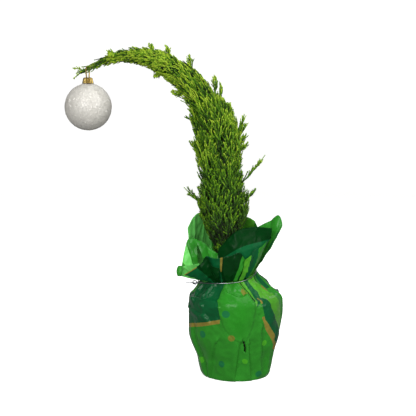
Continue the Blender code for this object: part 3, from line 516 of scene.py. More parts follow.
def film_cup(columns=360):
    """Grid in sheet places. Each corner of the plain shape is a mean of five up and down the sheet,
    which rounds its levels off, and the relief moves it along the plain shape's own normal. The front's
    relief and print are dealt again round the back, up to the laps. Returns corners, faces and inks."""
    up = np.concatenate([np.linspace(FOOT_MIDDLE, -2, FOOT_ROWS), np.linspace(0, SIDE_TOP, SIDE_ROWS)[:-1],
                         np.linspace(SIDE_TOP, NECK_EDGE + 0.5, SHOULDER_ROWS)])[:, None]
    turn = np.linspace(-math.pi, math.pi, columns, endpoint=False)[None, :]
    steps = ROUNDING * smooth_step(up, *ROUNDED_FROM) * (1 - smooth_step(up, *ROUNDED_TO))
    shape = sum(film_shape(up + steps * share + 0 * turn, turn + 0 * up)
                for share in (-1, -0.5, 0, 0.5, 1)) / 5
    closed = np.concatenate([shape[:, -1:], shape, shape[:, :1]], 1)
    round_it = closed[:, 2:] - closed[:, :-2]
    normal = unit(np.cross(round_it, np.gradient(shape, axis=0)))
    degrees = np.degrees(turn + 0 * up)
    lap_edge = LAP_WANDER * np.sin(up / LAP_WAVE) - LAP_LEAN * (up - 60)
    facing = (degrees - lap_edge) % 180 - 180 + lap_edge
    points = np.stack([facing * MM_A_DEGREE, up + 0 * degrees], -1)
    past_lap = ((degrees - lap_edge + 90) % 180 - 90) * MM_A_DEGREE
    relief = film_relief(points, shape)
    relief *= LAP_RELIEF + (1 - LAP_RELIEF) * smooth_step(np.abs(past_lap), *LAP_CALM)
    relief += LAP_STEP * smooth_step(past_lap, -LAP_STEP_WIDTH, LAP_STEP_WIDTH) * bell(past_lap, LAP_FADE)
    tied = smooth_step(up, NECK_EDGE - TIED_WIDTH, NECK_EDGE)
    relief *= smooth_step(up, *RELIEF_FROM) * (1 - TIED_FLAT * tied)
    grid = shape + normal * relief[..., None]
    inks = {ink: np.full(grid.size // 3 + 1, NO_INK) for ink, _ in INKS}
    inks.update((ink, np.append(field.ravel(), NO_INK)) for ink, field in film_print(points).items())
    corners = np.vstack([grid.reshape(-1, 3), [[0, 0, FILM]]])
    quads = grid_faces(len(up), columns, True)
    # Under the lobe's lower tip the pleats stand apart in a short slit, through which the pot shows.
    gap, _ = to_line(points.reshape(-1, 2)[quads].mean(1), in_mm(SLIT))
    front = degrees.ravel()[quads].max(1) < 0
    quads = quads[(gap > SLIT_WIDTH / 2) | ~front]
    return corners, [quads, fan_faces(len(corners) - 1, 0, columns, True)], inks


def give_values(piece, values):
    """Store a number for each corner of the piece under each name, for its material to read."""
    for name, field in values.items():
        layer = piece.data.attributes.new(name, "FLOAT", "POINT")
        layer.data.foreach_set("value", np.asarray(field, np.float32))


def film_body(piece):
    """Give a sheet the film's thickness."""
    wall = piece.modifiers.new("film", "SOLIDIFY")
    wall.thickness = FILM
    wall.offset = 0
    return piece


# Printed cast polypropylene film, 30 to 50 microns: flat inks on a glossy green sheet, with a fine
# crinkle of about 5 mm. It is drawn up to ten times thicker than it is. Later inks lie over earlier ones.
# Of these colours the bright green is painted light, the pale green painted sheen and light through the film,
# the lime also painted sheen on one flap, and the deep green painted shade.
INKS = [("painted_light_green", "#267f1e"), ("dot_dark", "#1a6a3a"), ("dot_lime", "#46a022"),
        ("dot_gold", "#6d7428"), ("lime_ink_and_painted_sheen", "#4a9626"), ("painted_sheen_pale", "#66c65c"), ("ink_dark", "#0a522a"),
        ("painted_shade_deep", "#02300c"), ("ink_gold", "#7f7430")]
# Edges of the inks in millimetres; the painted light on the lobe fades in over many of them.
SHARP_EDGE = (-0.12, 0.12)
PAINTED_LIGHT_FADE = (-0.5, 13.0)
film = new_material("Printed polypropylene film", {"Roughness": 0.24, "Specular IOR Level": 0.14})
colour = linear_colour("#2c8024")
for ink, hex_colour in INKS:
    field = add_node(film, "Attribute", attribute_name=ink)
    outside, inside = PAINTED_LIGHT_FADE if ink == "painted_light_green" else SHARP_EDGE
    edge = add_node(film, "MapRange", {"Value": field.outputs["Fac"], "From Min": outside,
                                       "From Max": inside})
    colour = mixed(film, edge.outputs["Result"], colour, linear_colour(hex_colour))
# Ink lies unevenly by a few per cent over centimetres, as rollers leave it.
mottle = add_node(film, "MapRange", {"Value": add_noise(film, size=0.018, detail=3), "From Min": 0.3,
                                     "From Max": 0.7, "To Min": 0.86, "To Max": 1.08})
set_inputs(film, {"Base Color": mixed(film, 1.0, colour, mottle.outputs["Result"], "MULTIPLY")})
add_bump(film, add_noise(film, size=0.0055), depth=0.0010, strength=0.5)
# The darkest parts of the sheet carry several coats of ink, which dull its gloss.
dark_film = film.copy()
dark_film.name = "Printed polypropylene film, dark"
set_inputs(dark_film, {"Roughness": 0.32, "Specular IOR Level": 0.05})
corners, faces, inks = film_cup()
cup = mesh_piece("film_cup", corners, faces, [film])
give_values(cup, inks)
put_on(film_body(cup), "film", "wrap_body")


# Collar: the film's free edge above the tie, fallen outwards in ten flaps with sharp folds, one of them
# with a small inner fold. Each runs from the gathered neck out through its rails to the cut edge, as the
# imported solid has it.
LAYER_STEP = 0.00115
FLAP_INSET = 0.0004
FLAP_COLUMNS = 56
FLAP_ROWS = 36
# A flap is about 35 mm across and 30 mm out, which turns its shares into millimetres.
FLAP_SCALE = np.array([35.0, 30.0])
# Each flap: where it starts and ends round the neck in degrees, its layer, its bulge and its rails.
FLAPS = {
    "left_tall": ((196, 110), 0, 0.005, [
        [(-0.0620, 0.004, 0.191), (-0.0555, 0.012, 0.204), (-0.0467, 0.020, 0.209),
         (-0.0385, 0.030, 0.203), (-0.0300, 0.037, 0.184)]]),
    "left_fold": ((222, 201), 1, 0.003, [
        [(-0.0702, -0.018, 0.1435), (-0.0662, -0.011, 0.164), (-0.0615, -0.006, 0.178),
         (-0.0500, -0.006, 0.178)]]),
    "left_inner": ((238, 268), 3, 0.001, [
        [(-0.0530, -0.010, 0.178), (-0.0430, -0.014, 0.175), (-0.0340, -0.019, 0.168),
         (-0.0240, -0.022, 0.162)]]),
    "left_low": ((208, 227), 0, 0.002, [
        [(-0.0706, -0.0215, 0.1325), (-0.0706, -0.0205, 0.1430), (-0.0600, -0.0265, 0.1470),
         (-0.0480, -0.0330, 0.1500)]]),
    "front_left": ((230, 255), 0, 0.003, [
        [(-0.0670, -0.030, 0.135), (-0.0460, -0.040, 0.151), (-0.0387, -0.041, 0.161),
         (-0.0320, -0.043, 0.150), (-0.0225, -0.043, 0.146)]]),
    "front": ((246, 290), 1, 0.002, [
        [(-0.0390, -0.034, 0.161), (-0.0280, -0.038, 0.158), (-0.0187, -0.042, 0.160),
         (-0.0060, -0.044, 0.163), (0.0034, -0.044, 0.1665), (0.0115, -0.040, 0.155)]]),
    "front_right": ((294, 328), 0, 0.002, [
        [(0.0120, -0.043, 0.156), (0.0185, -0.040, 0.163), (0.0240, -0.036, 0.169),
         (0.0320, -0.030, 0.172), (0.0390, -0.022, 0.177)]]),
    "right_leaf": ((258, 338), 2, 0.0, [
        [(-0.0240, -0.026, 0.158), (-0.0120, -0.031, 0.162), (0.0070, -0.036, 0.166),
         (0.0260, -0.031, 0.169), (0.0430, -0.012, 0.180)],
        [(-0.0225, -0.023, 0.168), (-0.0060, -0.028, 0.187), (0.0080, -0.025, 0.194),
         (0.0270, -0.017, 0.195), (0.0465, -0.006, 0.192)]]),
    "right_outer": ((334, 386), 0, 0.002, [
        [(0.0575, 0.003, 0.186), (0.0605, 0.008, 0.194), (0.0560, 0.015, 0.206),
         (0.0440, 0.019, 0.198), (0.0300, 0.025, 0.189)]]),
    "back_right": ((28, 72), 0, 0.004, [
        [(0.0330, 0.026, 0.182), (0.0250, 0.038, 0.196), (0.0130, 0.044, 0.199),
         (0.0020, 0.045, 0.184)]]),
    "back": ((74, 113), -1, 0.004, [
        [(-0.0010, 0.045, 0.180), (-0.0100, 0.052, 0.193), (-0.0210, 0.050, 0.190),
         (-0.0340, 0.041, 0.179)]]),
}
# Sharp folds on the flaps, as lines in shares across the flap and out along it.
FLAP_FOLDS = {
    "left_tall": [[(0.15, 0.0), (0.30, 0.6), (0.26, 1.0)], [(0.5, 0.0), (0.62, 1.0)]],
    "left_fold": [[(0.45, 0.0), (0.60, 1.0)]],
    "left_inner": [[(0.40, 0.0), (0.50, 1.0)], [(0.0, 0.6), (0.4, 0.5)]],
    "left_low": [[(0.5, 0.2), (0.35, 1.0)]],
    "front_left": [[(0.05, 0.2), (0.38, 0.45), (0.42, 1.0)], [(0.38, 0.45), (0.8, 0.3), (1.0, 0.6)]],
    "front": [[(0.36, 0.0), (0.40, 1.0)], [(0.60, 0.0), (0.70, 0.5), (0.66, 1.0)]],
    "front_right": [[(0.30, 0.0), (0.22, 1.0)], [(0.70, 0.0), (0.58, 1.0)]],
    "right_leaf": [[(0.0, 0.62), (0.35, 0.60), (0.75, 0.68), (1.0, 0.80)],
                   [(0.2, 1.0), (0.35, 0.60), (0.3, 0.2)], [(0.72, 1.0), (0.60, 0.66), (0.55, 0.1)]],
    "right_outer": [[(0.30, 0.0), (0.20, 1.0)], [(0.55, 0.0), (0.50, 0.6), (0.62, 1.0)]],
    "back_right": [[(0.30, 0.0), (0.34, 1.0)], [(0.70, 0.0), (0.62, 1.0)]],
    "back": [[(0.35, 0.0), (0.40, 1.0)], [(0.75, 0.0), (0.66, 1.0)]],
}
FLAP_PLEATS = 11
FLAP_PLEAT_HEIGHT = 0.0011
FLAP_RIDGE = 0.0016
FLAP_RIDGE_SIDE = 0.0006
FLAP_RIDGE_WIDTH = 4.5
# Dents in the flaps: size, depth, seed and the share of the way out at which they are in full.
FLAP_DENTS = [(0.030, 0.0014, 31, 0.4), (0.012, 0.0007, 32, 0.3)]
DARK_FLAPS = ("front_left", "right_leaf")


def strip(root_left, root_right, edge_right, edge_left, low=-0.1, high=1.1):
    """Outline of a strip in shares of a flap, from its root to past its cut edge unless told."""
    return [(root_left, low), (root_right, low), (edge_right, high), (edge_left, high)]


# Print on the flaps, with painted light, sheen and shade: ink, then outline in the same shares.
WHOLE_FLAP = strip(-0.1, 1.1, 1.1, -0.1)
FLAP_INKS = {
    # The pale green of the left flaps is painted sheen and light through the film.
    "left_tall": [("painted_sheen_pale", WHOLE_FLAP)],
    # On this flap the lime and the pale green are painted sheen, not print.
    "left_fold": [("lime_ink_and_painted_sheen", strip(0.12, 0.56, 0.62, 0.12)),
                  ("painted_sheen_pale", strip(0.14, 0.56, 0.62, 0.14, 0.25))],
    # This flap is painted bright green all over, as painted light.
    "left_inner": [("painted_light_green", WHOLE_FLAP)],
    "left_low": [("painted_sheen_pale", WHOLE_FLAP)],
    # Right of its fold most of this flap is painted deep green, as shade in the hollow under it.
    "front_left": [("ink_dark", [(-0.1, -0.1), (0.38, -0.1), (0.42, 0.5), (0.30, 1.1), (-0.1, 1.1)]),
                   ("painted_shade_deep", [(0.38, -0.1), (1.1, -0.1), (1.1, 1.1), (0.30, 1.1), (0.42, 0.5)]),
                   ("ink_gold", strip(-0.1, 0.34, 0.34, -0.1, 0.965))],
    # The deep green in the middle of this flap is painted shade, and the bright green at its right is painted
    # light.
    "front": [("ink_dark", strip(-0.1, 0.28, 0.34, -0.1)), ("painted_shade_deep", strip(0.28, 0.80, 0.86, 0.34)),
              ("ink_gold", strip(0.28, 0.33, 0.40, 0.34, 0.45)), ("painted_light_green", strip(0.76, 1.1, 1.1, 0.84))],
    "front_right": [("lime_ink_and_painted_sheen", strip(-0.1, 0.30, 0.22, -0.1)), ("ink_dark", strip(0.30, 0.70, 0.58, 0.22))],
    # Beyond its fold line this leaf is painted deep green, as shade on that facet.
    "right_leaf": [("ink_dark", WHOLE_FLAP),
                   ("painted_shade_deep", [(-0.1, 0.62), (0.35, 0.66), (0.75, 0.72), (1.1, 0.80), (1.1, 1.1),
                                 (-0.1, 1.1)])],
    "right_outer": [("lime_ink_and_painted_sheen", strip(-0.1, 0.18, 0.14, -0.1, 0.0, 0.86)),
                    ("ink_dark", strip(0.18, 0.36, 0.22, 0.14, 0.0, 0.86))],
    "back_right": [("lime_ink_and_painted_sheen", strip(0.42, 0.62, 0.70, 0.34))],
    "back": [("ink_dark", strip(0.55, 0.80, 0.78, 0.52))],
}


def flap_sheet(turn, layer, bulge, rails, folds):
    """Root line round the neck, then the rails; where there is one rail, a middle line stands out by
    the bulge. Smooth curves run along each line and across the lines. Fine pleats fan out from the
    neck, its folds stand up as sharp ridges, and dents cover the rest. Returns the corners and both
    shares of each."""
    start, end = (math.radians(a) for a in turn)
    radius = NECK_RADIUS - FLAP_INSET - layer * LAYER_STEP
    angle = np.linspace(start, end, FLAP_COLUMNS)
    x, y = NECK_X + radius * np.cos(angle), radius * np.sin(angle)
    lines = [np.stack([x, y, neck_height(x, y) + NECK_GAP], -1)]
    lines += [through(rail, FLAP_COLUMNS, 3)[1] for rail in rails]
    if len(lines) == 2:
        middle = (lines[0] + lines[1]) / 2
        lines.insert(1, middle + unit((middle - [NECK_X, 0, 0]) * [1, 1, 0]) * bulge)
    stack = np.array(lines)
    sheet = np.stack([through(stack[:, i], FLAP_ROWS, 3)[1] for i in range(FLAP_COLUMNS)], 1)
    normal = unit(np.cross(np.gradient(sheet, axis=1), np.gradient(sheet, axis=0)))
    across, along = np.meshgrid(np.linspace(0, 1, FLAP_COLUMNS), np.linspace(0, 1, FLAP_ROWS))
    pleats = np.abs(np.sin(across * abs(end - start) * FLAP_PLEATS + 0.6 * np.sin(4 * along)))
    height = FLAP_PLEAT_HEIGHT * (pleats - 0.5) * (1 - along) ** 1.5
    for line in folds:
        distance, side = to_line(np.stack([across, along], -1) * FLAP_SCALE, np.array(line) * FLAP_SCALE)
        ridge = (FLAP_RIDGE + FLAP_RIDGE_SIDE * side) * np.exp(-distance / FLAP_RIDGE_WIDTH)
        height += ridge * smooth_step(along, 0, 0.3)
    for size, depth, seed, out in FLAP_DENTS:
        height -= depth * np.abs(waves(sheet, size, seed)) * smooth_step(along, 0, out)
    return (sheet + normal * height[..., None]).reshape(-1, 3), across.ravel(), along.ravel()


for name, (turn, layer, bulge, rails) in FLAPS.items():
    corners, across, along = flap_sheet(turn, layer, bulge, rails, FLAP_FOLDS[name])
    dark = name in DARK_FLAPS
    flap = mesh_piece(f"film_flap_{name}", corners, [grid_faces(FLAP_ROWS, FLAP_COLUMNS)],
                      [dark_film if dark else film])
    places = np.stack([across, along], -1) * FLAP_SCALE
    inks = {ink: np.full(len(corners), NO_INK) for ink, _ in INKS}
    for ink, outline in FLAP_INKS[name]:
        inks[ink] = np.maximum(inks[ink], inside_by(places, np.array(outline) * FLAP_SCALE))
    give_values(flap, inks)
    node = name.replace("left_inner", "left_fold")
    put_on(film_body(flap), "film_dark" if dark else "film", f"wrap_flap_{node}")

# Curl: the sheet's left corner, which has rolled itself up into a small scroll.
CURL_FOOT = np.array([-0.0727, -0.0228, 0.1330])
CURL_RUN = np.array([0.0010, 0.0020, 0.0125])
CURL_RADII = (0.0030, 0.0046)
CURL_TURN = (math.radians(20), math.radians(310))
# The scroll's size at its ends, how much it swells between them, and how unevenly it is rolled.
CURL_END = 0.30
CURL_SWELL = 0.76
CURL_WOBBLE = 0.03
CURL_ROWS = 14
CURL_COLUMNS = 60


def film_curl():
    """Spiral whose radius grows with its turn, run along a leaning line and drawn in at its ends."""
    turn = np.linspace(*CURL_TURN, CURL_COLUMNS)[None, :]
    share = np.linspace(0, 1, CURL_ROWS)[:, None]
    radius = CURL_RADII[0] + (CURL_RADII[1] - CURL_RADII[0]) * np.linspace(0, 1, CURL_COLUMNS)[None, :]
    radius = radius * (CURL_END + CURL_SWELL * np.sin(math.pi * (0.07 + 0.86 * share)) ** 0.6)
    radius = radius * (1 + CURL_WOBBLE * np.sin(5 * turn + 4 * share))
    offset = np.stack([radius * np.cos(turn), radius * np.sin(turn), 0 * radius], -1)
    return (CURL_FOOT + share[..., None] * CURL_RUN + offset).reshape(-1, 3)


curl = mesh_piece("film_curl", film_curl(), [grid_faces(CURL_ROWS, CURL_COLUMNS)], [film])
give_values(curl, {ink: np.full(CURL_ROWS * CURL_COLUMNS, NO_INK) for ink, _ in INKS})
put_on(film_body(curl), "film", "wrap_curl")


# Wire tie: one turn of soft galvanised steel wire round the neck. One end is bent into a small eye and
# a straight tail at the left, and the other is hooked over it.
WIRE_RADIUS = 0.0006
TIE_RING = 0.0375
TIE_START = math.radians(196)
TIE_PITCH = 0.0020
# The straight tail and the eye, up to the ring, and the short end that is laid over the eye.
TIE_EYE = [(-0.0645, -0.0105, 0.1221), (-0.0600, -0.0108, 0.1225), (-0.0566, -0.0112, 0.1218),
           (-0.0548, -0.0125, 0.1206), (-0.0526, -0.0135, 0.1202), (-0.0506, -0.0135, 0.1215),
           (-0.0508, -0.0128, 0.1236), (-0.0530, -0.0118, 0.1247), (-0.0553, -0.0108, 0.1239),
           (-0.0556, -0.0096, 0.1221), (-0.0535, -0.0092, 0.1206), (-0.0505, -0.0094, 0.1208)]
TIE_END = [(-0.0500, -0.0150, 0.1232), (-0.0530, -0.0160, 0.1226), (-0.0558, -0.0152, 0.1233)]


def closed_tube(grid, first_pole, last_pole):
    """Corners and faces of a grid that is joined round its columns and closed to a pole at each end."""
    rows, columns = grid.shape[:2]
    count = rows * columns
    return np.vstack([grid.reshape(-1, 3), [first_pole, last_pole]]), [
        grid_faces(rows, columns, True), fan_faces(count, 0, columns, True),
        fan_faces(count + 1, count - columns, columns)]


def rings(way, level, sides):
    """Unit circles of even points, each square to a direction and turned from one fixed direction."""
    side = unit(np.cross(way, np.array(level, float)))
    other = np.cross(way, side)
    turn = 2 * math.pi * np.arange(sides) / sides
    return side[:, None] * np.cos(turn)[:, None] + other[:, None] * np.sin(turn)[:, None]


def wire_tube(points, radius, level, sides=10):
    """Rings along a path, squared to it, with rounded ends."""
    points = np.array(points, float)
    way = unit(np.gradient(points, axis=0))
    size = np.full(len(points), float(radius))
    size[[0, -1]] *= 0.6
    grid = points[:, None] + rings(way, level, sides) * size[:, None, None]
    return closed_tube(grid, points[0] - way[0] * radius * 0.4, points[-1] + way[-1] * radius * 0.4)


def tie_path(steps=150):
    """The straight tail, an eye, the ring once round the neck, and its short end laid over the eye."""
    turn = np.linspace(TIE_START, TIE_START + 2 * math.pi, steps)
    x, y = NECK_X + TIE_RING * np.cos(turn), TIE_RING * np.sin(turn)
    z = neck_height(x, y) + TIE_PITCH * (np.linspace(0, 1, steps) - 0.5)
    ring = np.stack([x, y, z], -1)
    _, lead = through(TIE_EYE + [ring[2]], 90, 3)
    _, trail = through([ring[-3]] + TIE_END, 30, 3)
    return np.vstack([lead[:-1], ring[2:-3], trail])


# Galvanised soft steel: bright but dulled by its zinc, with draw marks about 0.4 mm apart.
steel = new_material("Galvanised steel wire", {"Base Color": linear_colour("#8f9296"), "Metallic": 1.0,
                                               "Roughness": 0.28})
add_bump(steel, add_noise(steel, size=0.0004), depth=0.0001, strength=0.3)
corners, faces = wire_tube(tie_path(), WIRE_RADIUS, (0.02, 0.01, 1))
put_on(mesh_piece("wire_tie", corners, faces, [steel]), "tie_wire", "tie")


# Stem: one woody leader, red-brown and stringy-barked, from a flared foot on the compost to the tip
# that the bauble has pulled down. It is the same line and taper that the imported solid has.
# Places on the stem's line: x, z and the radius of the crown round it.
STEM_ROUTE = [
    (-0.0050, 0.0943, 0.000),
    (-0.0088, 0.1300, 0.008),
    (-0.0142, 0.1760, 0.018),
    (-0.0156, 0.2213, 0.030),
    (-0.0183, 0.2600, 0.0256),
    (-0.0209, 0.2920, 0.0295),
    (-0.0245, 0.3220, 0.0310),
    (-0.0360, 0.3525, 0.0285),
    (-0.0590, 0.3808, 0.0225),
    (-0.0818, 0.3972, 0.0180),
    (-0.1095, 0.4097, 0.0120),
    (-0.1400, 0.4132, 0.0082),
    (-0.1680, 0.4060, 0.0058),
    (-0.1845, 0.3968, 0.0040),
    (-0.1938, 0.3925, 0.0030),
]
STEM_BASE_RADIUS = 0.0040
STEM_TIP_RADIUS = 0.0008
ROOT_FLARE = 0.0025
FLARE_LENGTH = 0.0060
BARK_RIDGE = 0.00022
# How the bark's ridges wander round the stem: swings in radians, and the length that paces each.
RIDGE_WANDER = [(2.2, 0.031), (0.9, 0.0085)]
STEM_STEPS = 400


stem_marks, stem_table = through(STEM_ROUTE, STEM_STEPS)
stem_x, stem_z, crown_reach = stem_table.T
stem_length = stem_marks[-1]
stem_ways = unit(np.stack([np.gradient(stem_x, stem_marks), np.zeros(STEM_STEPS),
                           np.gradient(stem_z, stem_marks)], -1))


def stem_frame(s):
    """Centre of the stem at distances along it, its direction, and the outer side of its bend.
    Past the tip the line runs straight on."""
    s = np.asarray(s, float)
    way = np.stack([np.interp(s, stem_marks, column) for column in stem_ways.T], -1)
    centre = np.stack([np.interp(s, stem_marks, stem_x), 0 * s, np.interp(s, stem_marks, stem_z)], -1)
    centre = centre + way * np.maximum(s - stem_length, 0)[..., None]
    outer = np.stack([way[..., 2], 0 * s, -way[..., 0]], -1)
    return centre, way, outer


def by_stem(s, r, angle):
    """World points of stem coordinates: distance along the stem, out from it, and round it, where 0 is
    the outer side of the bend and a quarter turn is the back."""
    centre, _, outer = stem_frame(s)
    back = np.array([0.0, 1.0, 0.0])
    return centre + outer * (r * np.cos(angle))[..., None] + back * (r * np.sin(angle))[..., None]


def stem_radius(s):
    """An even taper to the tip, with a flare that dies away above the compost."""
    taper = STEM_BASE_RADIUS + (STEM_TIP_RADIUS - STEM_BASE_RADIUS) * s / stem_length
    return taper + ROOT_FLARE * np.exp(-np.maximum(s, 0) / FLARE_LENGTH)


def bark_tube(rows=520, columns=22):
    """Rings round the stem's line: radius is its taper, with stringy ridges that wander round it."""
    s = np.linspace(0, stem_length, rows)[:, None]
    angle = all_round(columns)
    wander = sum(turn * np.sin(s / length) for turn, length in RIDGE_WANDER)
    ridge = np.sin(5 * angle + wander) * 0.6 + np.sin(9 * angle - 2.1 * wander) * 0.4
    taper = stem_radius(s)
    radius = taper + BARK_RIDGE * ridge * taper / STEM_BASE_RADIUS
    grid = by_stem(s + 0 * angle, radius, angle + 0 * s)
    return closed_tube(grid, *stem_frame(np.array([0.0, stem_length]))[0])


# Cypress bark: fibrous, matt, red-brown with grey fibres about 0.8 mm apart.
bark = new_material("Stringy cypress bark", {"Roughness": 0.85})
fibres = add_noise(bark, size=0.0008, detail=3)
set_inputs(bark, {"Base Color": mixed(bark, fibres, linear_colour("#4b3020"), linear_colour("#8a6a4c"))})
add_bump(bark, fibres, depth=0.0003)
put_on(mesh_piece("stem_bark", *bark_tube(), [bark]), "bark", "trunk")


# Foliage: masses of fine cord-like shoots, clad in small pressed scale leaves, that slant up along the
# stem all round it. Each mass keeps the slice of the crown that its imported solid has: a slanting
# tier, and a sector of it. Boughs grow from the stem, twigs from the boughs, shoots from the twigs.
FOLIAGE_START = 0.0260
BAUBLE_X = -0.1885
LOOP_CLEARANCE = 0.0035
SHOOT_SLOPE = 1.7
TIERS = 9
TIER_SHRINK = 0.93
LOW_TIERS = 4
SECTOR_STEP = math.radians(30)
BOUGH_SPACING = 0.0090
BOUGH_SWING = 0.12
BOUGH_ROOT = 0.6
BOUGH_RISE = 0.62
# Where the crown is slimmer than this, boughs stand closer and shoots are shorter, down to these shares.
FULL_REACH = 0.024
LEAST_SHARE = (0.60, 0.62)
JITTER = (0.1, 0.9)
TIP_SPREAD = (0.62, 1.08)
TUFT_SIZE = 0.024
TUFT_REACH = 0.24
# Shoots on a cord: how many, the shares of its length that they stand between, their length and lean.
BOUGH_TWIGS = (5, 0.30, 0.97, 0.0240, math.radians(23))
TWIG_SHOOTS = (3, 0.15, 0.95, 0.0200, math.radians(22))
STRAY_TWIGS = (10, 0.30, 0.76, 0.0200, math.radians(21))
STRAY_SHOOTS = (3, 0.25, 0.85, 0.0100, math.radians(26))
TIP_TWIGS = (10, 0.0, 0.9, 0.0100, math.radians(40))
SHOOT_ROLL = (-0.5, 1.1)
SHOOT_LEANS = (0.5, 1.4)
SHOOT_SIZES = (0.75, 1.2)
SHOOT_SWAY = 0.15
UPWARD_PULL = 0.26
TWIG_ROOM = 1.16
SHOOT_ROOM = 1.24
# Towards the hanging end shoots spread more, pull upwards less and stand out further.
HANGING = (0.26, 0.36)
HANGING_SPREAD = 0.3
HANGING_PULL = 0.6
OUTSTANDING = (0.31, 0.37)
OUTSTANDING_ROOM = 0.28
CORD_RADIUS = 0.00055
CORD_LEVEL = np.array([0.31, 0.87, 0.38])
# For boughs, twigs and shoots: steps along a tube, and its thickness as a share of the cord's.
CORD_STEPS = (6, 3, 1)
CORD_SHARES = (1.5, 1.0, 0.8)
CORD_TAPER = 0.67
BARE_SHARE = 0.35
LEAF_SPACING = 0.00120
LEAF_LENGTH = 0.0016
LEAF_WIDTH = 0.00125
LEAF_LEAN = math.radians(13)
LEAF_SIZES = (0.85, 1.15)
LEAF_TWIST = 0.25
LEAF_KEEL = 0.75
FOLIAGE_GREENS = ["#0d1f06", "#1b380a", "#31590d", "#4f7f12", "#78a31c", "#a5c433"]
# Steps of green: up towards the outline and from boughs to shoots, which is painted shade deep in the
# crown, up along the stem, less at the crown's foot, with a chance that grows along the stem. A cord's
# tip is fresher than the rest of it, and its foot darker, partly as older leaves are and partly as
# painted shade.
GREEN_BASE = -1.75
GREEN_OUTWARDS_PAINTED_SHADE = 3.6
GREEN_ALONG = 2.3
GREEN_A_LEVEL = 0.2
GREEN_CHANCE = 0.7
GREEN_CHANCE_GROWS = (0.24, 0.34)
GREEN_FOOT = 1.4
FOOT_ENDS = (0.07, 0.17)
FRESH_FROM = (0.10, 0.25)
FRESH_TIP = 0.85
SHADED_FOOT = 0.4
# Single shoots that stand out of the crown's outline: the places of their tips.
STRAY_TIPS = [
    (0.0366, 0.2857), (0.0244, 0.2430), (0.0152, 0.3265), (-0.0195, 0.3735), (-0.0600, 0.4097),
    (-0.0897, 0.4234), (-0.1098, 0.4241), (-0.1590, 0.4135), (-0.0666, 0.2436), (-0.0606, 0.3033),
    (-0.0633, 0.3332), (-0.0800, 0.3648), (-0.1052, 0.3871), (0.0128, 0.3120), (0.0085, 0.3235),
    (0.0140, 0.3020), (-0.0085, 0.3475), (-0.0260, 0.3830), (0.0122, 0.3360),
]
STRAY_DEPTH = 0.003
STRAY_SLOPE = 0.9
STRAY_STEEPER = (0.37, 0.42)
STRAY_ARCH = 0.06
STRAY_TONE = 0.3
# The tip: two green twigs past the bauble's loop, and short shoots pressed close round its last part.
FORK_TIPS = [(-0.2066, 0.0015, 0.3953), (-0.2068, -0.0015, 0.3825)]
FORK_ARCH = [[0, 0, 0.0012], [0, 0, 0.0004]]
TIP_SHOOTS = 84
TIP_SPAN = (0.078, 0.0015)
TIP_SHOOT_LENGTH = 0.011
TIP_SHOOT_SPREAD = (0.0016, 0.0048)
UNDER_LOOP_SPREAD = 0.0012
LEAF_TURN = 2.4
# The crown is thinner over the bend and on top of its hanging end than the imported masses: distance
# along the stem, less on the outer side, less on the inner side.
CROWN_TRIM = np.array([(0.045, 0, 0), (0.070, 0, 0.0020), (0.105, 0.0020, 0.0015), (0.135, 0.0028, 0),
                       (0.190, 0.0028, 0), (0.208, 0.0060, 0.0020), (0.225, 0.0085, 0.0035),
                       (0.245, 0.0095, 0.0040), (0.268, 0.0155, 0.0050), (0.300, 0.0095, 0.0050),
                       (0.326, 0.0070, 0.0035), (0.345, 0.0045, 0.0025), (0.380, 0.0025, 0.0010),
                       (0.405, 0.0025, 0.0005), (0.436, 0.0010, 0)])
foliage_rng = np.random.default_rng(41)


def crown_side(s, lean):
    """The crown's radius at distances along the stem on a side of it, whose lean is 1 on the outer side
    of the bend and -1 on the inner side."""
    marks, outer, inner = CROWN_TRIM.T
    trim = np.interp(s, marks, outer) * np.maximum(lean, 0)
    trim += np.interp(s, marks, inner) * np.maximum(-lean, 0)
    return np.interp(s, stem_marks, crown_reach) - trim


def crown_outline(w, lean=0.0):
    """The crown's radius where the slanting cone that starts at w on the stem meets its outline, found in
    four rounds, each from the last."""
    r = np.interp(w, stem_marks, crown_reach)
    for _ in range(4):
        r = crown_side(w + SHOOT_SLOPE * r, lean)
    return r


def nearest_on_stem(points):
    """Distance along the stem and out from it of world points."""
    gap = (points[:, None, 0] - stem_x) ** 2 + (points[:, None, 2] - stem_z) ** 2
    nearest = gap.argmin(1)
    return stem_marks[nearest], np.sqrt(gap.min(1) + points[:, 1] ** 2)


def mass_slices():
    """The masses' names and slices: where the slanting tier starts and ends, and its sector."""
    lengths = TIER_SHRINK ** np.arange(TIERS)
    last = np.interp(-BAUBLE_X, -stem_x, stem_marks) - LOOP_CLEARANCE
    last -= SHOOT_SLOPE * np.interp(last, stem_marks, crown_reach)
    starts = np.concatenate([[0], np.cumsum(lengths)]) * (last - FOLIAGE_START) / lengths.sum()
    starts += FOLIAGE_START
    slices = []
    for tier in range(TIERS):
        sectors = 3 if tier < LOW_TIERS else 2
        turn = SECTOR_STEP * (tier - 2 if tier < LOW_TIERS else tier % 2 - 3)
        for sector in range(sectors):
            start = turn + 2 * math.pi * sector / sectors
            slices.append((f"foliage_{tier + 1:02d}_{'abc'[sector]}", tier, starts[tier], starts[tier + 1],
                           start, start + 2 * math.pi / sectors))
    return slices


def curve(first, middle, last):
    """A cord as a quadratic: start, slope and bend of the parabola through three points."""
    bend = 2 * (first - 2 * middle + last)
    return first, last - first - bend, bend


